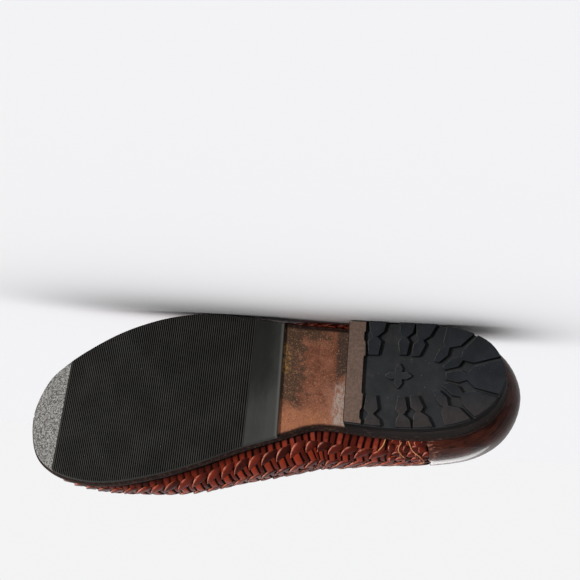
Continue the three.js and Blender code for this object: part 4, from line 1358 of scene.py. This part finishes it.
# %% One leaf
LEAF_SIZE = (7.2, 2.55)  # half its length and half its width
LEAF_SLANT = math.radians(33)
LEAF_HIGH = 1.8
LEAF_BEND = 0.13
LEAF_COLUMNS, LEAF_ROWS = 8, 4
LEAF_FULL, LEAF_TAPER = 0.85, 0.12  # power of the outline, and how much broader one end is
RIM_DROP, RIM_ROUND, SIDE_TILT = 0.5, 1.8, 0.12
TAIL_LOW, HEAD_HIGH = 0.74, 0.26
LEAF_THICK, UNDER_SMALLER = 0.75, 0.12
SIZE_VARIES, SLANT_VARIES = (0.93, 1.05), 0.06
LEAF_ROOM = (0.9, 3.4)  # millimetres between strips: crowded, and free
NARROWEST, LOWEST = 0.6, 0.55  # what is left of a leaf where it is crowded


def add_leaf(bm, s, middle_at, half_size=LEAF_SIZE, slant=LEAF_SLANT):
    """One leaf, its middle at strip s; middle_at gives the height of its row at any strip."""
    half_long, half_wide = half_size
    tone = draw.random()
    size = draw.uniform(*SIZE_VARIES)
    slant = slant + draw.uniform(-SLANT_VARIES, SLANT_VARIES)
    room = float(smoothstep(spacing_at(s, float(middle_at(s))), *LEAF_ROOM))
    squeeze = NARROWEST + (1 - NARROWEST) * room
    verts, column, row = grid(bm, LEAF_COLUMNS, LEAF_ROWS)
    p, q = 2 * column / LEAF_COLUMNS - 1, 2 * row / LEAF_ROWS - 1
    wide = half_wide * size * squeeze * np.maximum(1 - p * p, 0) ** LEAF_FULL * (1 - LEAF_TAPER * p)
    along = p * half_long * size
    across = q * wide - half_long * LEAF_BEND * (1 - p * p)
    tangent = -along * math.cos(slant) + across * math.sin(slant)
    upward = (along * math.sin(slant) + across * math.cos(slant)) * squeeze
    edge = np.maximum(np.abs(q), np.abs(p) ** 3)
    dome = LEAF_HIGH * (1 - RIM_DROP * edge**RIM_ROUND - SIDE_TILT * q)
    raised = dome * (TAIL_LOW + HEAD_HIGH * p) * (LOWEST + (1 - LOWEST) * room)
    here = s + tangent / STRIP_PITCH
    note(bm, verts, tone=tone, rim=np.maximum(np.abs(q), p * p), head=p, low=-q)
    move(verts, on_wall(strip_round(here), middle_at(here) + upward, raised))
    around = dict.fromkeys(edge for vert in verts for edge in vert.link_edges if edge.is_boundary)
    skirt = bmesh.ops.extrude_edge_only(bm, edges=list(around))
    lower = [item for item in skirt["geom"] if isinstance(item, bmesh.types.BMVert)]
    middle = sum((vert.co for vert in lower), Vector()) / len(lower)
    foot, top = (on_wall(strip_round(s), float(middle_at(s)), high) for high in (0, LEAF_THICK))
    for vert in lower:
        vert.co = vert.co.lerp(middle, UNDER_SMALLER) + Vector(foot - top)


print("a leaf is", 2 * LEAF_SIZE[0], "mm long")

# %% Rows of leaves, and knots
LEAF_PITCH = 2
KNOT_STRIPS = 5
KNOT_HEIGHTS = (3.4, 7.9, 12.4, 16.9)
KNOT_SIZE = (3.0, 2.5)
KNOT_START, KNOT_STAGGER = 0.2, 0.5  # in strips
KNOT_SLANT, KNOT_CROSS = (-0.2, 0.5), 0.9

bm = blank("tone", "rim", "head", "low")
for row in range(TWINE_ROWS):
    for number in range(1 + row % 2, STRIPS - 1, LEAF_PITCH):
        if row > 0 or KNOT_STRIPS < number < STRIPS - KNOT_STRIPS:
            add_leaf(bm, number + 0.5, lambda s, row=row: twine_height(s, row))
for level, height in enumerate(KNOT_HEIGHTS):
    for k in range(KNOT_STRIPS):
        knot = KNOT_START + k + KNOT_STAGGER * (level % 2)
        slant = draw.uniform(*KNOT_SLANT) + KNOT_CROSS * ((level + k) % 2)
        for number in (knot, STRIPS - knot):
            add_leaf(bm, number, lambda s, height=height: np.full(np.shape(s), height), KNOT_SIZE, slant)
fill_holes(bm)
finish("weave_twine", bm, TWINE_LEATHER, "upper", sharp=100)

# %% [markdown]
# ## Loose threads
# By the inner front edge of the counter a few threads have come loose. A curve with a bevel would make each one,
# but it would have to find the wall again, so each is a thin rolled sheet along a line of places on the wall,
# raised over the knots.

# %% Threads
THREAD_RADIUS = 0.34
THREAD_SIDES = 6
THREADS = (  # strips from the counter, height up the wall, raised
    ((2.6, 1.5, 1.5), (2.0, 8, 2.2), (1.1, 12, 2.4), (0.7, 17, 2.2), (1.5, 21, 1.8)),
    ((3.5, 3, 1.6), (3.9, 8, 2.2), (3.2, 13, 2.0)),
    ((5.6, 1, 1.0), (6.0, 6, 1.7), (6.6, 9.5, 1.6)),
)


def add_thread(bm, path):
    line = smooth_line(np.array(path) * (STRIP_PITCH, 1, 1), steps=6)
    ahead = unit(np.gradient(line[:, :2], axis=0))
    verts, column, row = grid(bm, THREAD_SIDES, len(line) - 1)
    point, direction = line[row], ahead[row]
    turn = 2 * np.pi * column / THREAD_SIDES
    aside = THREAD_RADIUS * np.cos(turn)
    s = STRIPS - (point[:, 0] - direction[:, 1] * aside) / STRIP_PITCH
    height = point[:, 1] + direction[:, 0] * aside
    roll(bm, verts, on_wall(strip_round(s), height, point[:, 2] + THREAD_RADIUS * np.sin(turn)))


bm = blank()
for path in THREADS:
    add_thread(bm, path)
fill_holes(bm)
THREAD = plain_leather("loose_thread", (140, 88, 56), (196, 136, 94), 0.6)
finish("loose_threads", bm, THREAD, "upper", sharp=80)

# %% [markdown]
# ## Collar
# The opening is bound with a folded strip of leather. A curve with a bevel would twist where the edge turns at the
# throat, so it is a sheet rolled into a bar on the wall itself. Its cross-section goes up the outside, over the top
# and down the lining, and the cut edges of strips, backing and lining are all inside it.

# %% Collar binding
BINDING = np.array((  # past the wall's top edge, and raised from the wall
    (-5.2, -0.1), (-5.0, 0.75), (-3, 1.1), (-1, 1.05), (0.4, 0.5),
    (0.9, -0.7), (0.5, -1.9), (-1, -2.5), (-3.2, -2.5), (-4.2, -2.1),
))
SIDE_STATIONS = 70
edge_round = np.concatenate([
    np.linspace(0, THROAT_SHARE, SIDE_STATIONS), np.linspace(2 - THROAT_SHARE, 2, SIDE_STATIONS),
])

bm = blank()
verts, column, row = grid(bm, len(BINDING), len(edge_round) - 1)
past, raised = BINDING[column % len(BINDING)].T
a = edge_round[row]
roll(bm, verts, on_wall(a, wall_length(a) + past, raised))
COLLAR_LEATHER = plain_leather("collar_leather", (84, 34, 24), (122, 50, 34), 0.34)
finish("collar_binding", bm, COLLAR_LEATHER, "upper", sharp=70)

# %% [markdown]
# ## Counter
# A plain piece of leather wraps the heel, polished until it shines. Faces of the backing could be pushed out, but
# their rim would be a hard step, so it is a sheet of its own, wrapped on the wall, with a thickness and a rounded
# edge. Its front ends are cut a little ragged, and frayed pale. A thin clear coat gives the polish, because it
# stays sharp over the rougher leather.

# %% Polished leather


def counter_leather():
    material, place = new_finish("counter_leather", Coat_Weight=0.2, Coat_Roughness=0.08, Specular_IOR_Level=0.04)
    cloud = place.noise(0.08, 4, 0.6)
    streak = place.stretched(0.12, 0.12, 1.0).noise(0.9, 5, 0.7)
    grain = place.noise(2.4, 4, 0.7)
    fibres = place.stretched(0.3, 0.3, 1).noise(0.9, 4, 0.7).step(0.5, 0.64)
    colour = stained(
        (cloud * 0.5 + streak * 0.8).step(0.46, 0.8).over((20, 9, 7), (64, 29, 20)),
        (place.attribute("front") * fibres, 0.8, (150, 98, 80)),
        (grain.step(0.62, 0.8), 0.35, (20, 8, 6)),
    )
    return feed(material, grain * 0.25 + streak, 0.14, Base_Color=colour, Roughness=0.34 + grain * 0.14)


COUNTER_LEATHER = counter_leather()

# %% Counter
COUNTER_FOOT, COUNTER_TOP_MARGIN, COUNTER_THICK = 1.0, 6.4, 1.2
COUNTER_COLUMNS, COUNTER_ROWS = 40, 24
COUNTER_BEVEL, RIM_LIMIT = 0.45, math.radians(60)
RAGGED, RAGGED_FINE, RAGGED_COARSE = 0.006, 46, 27
FRAYED_FROM = 0.86

bm = blank("front")
verts, column, row = grid(bm, COUNTER_COLUMNS, COUNTER_ROWS)
u, v = column / COUNTER_COLUMNS, row / COUNTER_ROWS
ragged = 1 + RAGGED * (np.sin(v * RAGGED_FINE) + np.sin(v * RAGGED_COARSE + u))
a = (u * 2 - 1) * COUNTER_SHARE * ragged
top = wall_length(a) - COUNTER_TOP_MARGIN
note(bm, verts, front=smoothstep(np.abs(2 * u - 1), FRAYED_FROM, 1.0))
move(verts, on_wall(a, COUNTER_FOOT + (top - COUNTER_FOOT) * v, FIT_GAP + COUNTER_THICK))
bmesh.ops.recalc_face_normals(bm, faces=bm.faces)
heel_back = min(bm.faces, key=lambda face: face.calc_center_median().x)
if heel_back.normal.x > 0:
    bmesh.ops.reverse_faces(bm, faces=bm.faces)
bmesh.ops.solidify(bm, geom=bm.faces, thickness=COUNTER_THICK)
bmesh.ops.bevel(bm, geom=corners_over(bm, RIM_LIMIT), offset=COUNTER_BEVEL, **BEVEL)
finish("counter_overlay", bm, COUNTER_LEATHER, "counter", sharp=50)

# %% [markdown]
# ## Room
# The floor is one wide pale disc. A backdrop bent up behind the shoe would show its bend from other sides, so the
# disc's far edge meets a surround of the same brightness instead, and no line shows.

# %% Floor
FLOOR_RADIUS = 30.0
FLOOR_COLOUR = (0.94, 0.94, 0.955, 1)
bm = blank()
bmesh.ops.create_circle(bm, cap_ends=True, segments=96, radius=FLOOR_RADIUS)
floor_mesh = bpy.data.meshes.new("floor")
bm.to_mesh(floor_mesh)
bm.free()
floor_mesh.materials.append(
    new_material("floor_paper", Roughness=1.0, Base_Color=FLOOR_COLOUR, Specular_IOR_Level=0.0))
floor = bpy.data.objects.new("floor", floor_mesh)
bpy.context.scene.collection.objects.link(floor)
print("floor", len(floor_mesh.polygons), "faces")

# %% [markdown]
# ## Light
# A small light stands low at the toe, in front of the sole, so that the lugs throw their shadows towards the heel.
# It reaches the shoe alone, because it would draw a bright band on the floor, and it isn't mirrored in the leather,
# because its glint would burn out the edge of the shoe from behind. A panel that only reflections see puts the
# gleam on the polished counter. A wide light from above and a bright surround fill the rest.

# %% Lamps
SHOE_MIDDLE = Vector((0, 0, 0.05))
KEY_SPOT, KEY_SIZE, KEY_POWER = Vector((0.68, -1.26, 0.09)), (0.16, 0.16), 21.3
PANEL_SPOT, PANEL_SIZE, PANEL_POWER = Vector((-0.1, 1.2, 0.9)), (1.4, 0.6), 15
SUN_AIM, SUN_STRENGTH, SUN_ANGLE = Vector((-0.3, -0.3, -0.9)), 1.84, math.radians(100)


def lamp(name, kind, aim, power):
    """A new lamp that shines in the direction of aim."""
    data = bpy.data.lights.new(name, kind)
    data.energy = power
    made = bpy.data.objects.new(name, data)
    made.rotation_mode = "QUATERNION"
    made.rotation_quaternion = aim.to_track_quat("-Z", "Y")
    bpy.context.scene.collection.objects.link(made)
    return made


def soft_lamp(name, place, size, power, lit_pieces):
    """A round panel that lights these pieces and no others."""
    made = lamp(name, "AREA", SHOE_MIDDLE - place, power)
    made.location = place
    made.data.shape = "ELLIPSE"
    made.data.size, made.data.size_y = size
    lit = bpy.data.collections.new("lit_by_" + name)
    for piece in lit_pieces:
        lit.objects.link(piece)
    made.light_linking.receiver_collection = lit
    return made


shoe_pieces = [piece for piece in bpy.context.scene.objects if piece.type == "MESH" and piece is not floor]
key = soft_lamp("key", KEY_SPOT, KEY_SIZE, KEY_POWER, shoe_pieces)
key.visible_glossy = False
polished = [bpy.data.objects["counter_overlay"]]
panel = soft_lamp("rim_panel", PANEL_SPOT, PANEL_SIZE, PANEL_POWER, polished)
panel.visible_diffuse = False
sun = lamp("sky_panel", "SUN", SUN_AIM, SUN_STRENGTH)
sun.data.angle = SUN_ANGLE
print("key light", round((KEY_SPOT - SHOE_MIDDLE).length, 2), "m from the shoe")

# %% Surround
SURROUND_FRONT, SURROUND_BACK, SURROUND_SEEN = 0.22, 0.7, 0.91
SURROUND_COLOUR = (0.99, 0.99, 1.0, 1)
FRONT_ENDS, BACK_BEGINS = -0.3, 0.5
world = bpy.data.worlds.new("surround")
world.use_nodes = True
surround = Wire(world.node_tree)
seen = surround.node("LightPath")
away = surround.node("TexCoord").part(1).step(FRONT_ENDS, BACK_BEGINS)
lighting = SURROUND_FRONT + (SURROUND_BACK - SURROUND_FRONT) * away
strength = lighting + (SURROUND_SEEN - lighting) * seen
background = world.node_tree.nodes["Background"]
background.inputs["Color"].default_value = SURROUND_COLOUR
world.node_tree.links.new(strength.socket, background.inputs["Strength"])
bpy.context.scene.world = world
bpy.context.scene.view_settings.view_transform = "Standard"
print("surround", SURROUND_FRONT, "in front and", SURROUND_BACK, "behind")

# %% [markdown]
# ## Size
# The dressed shoe has to stay in the box of the CAD model.
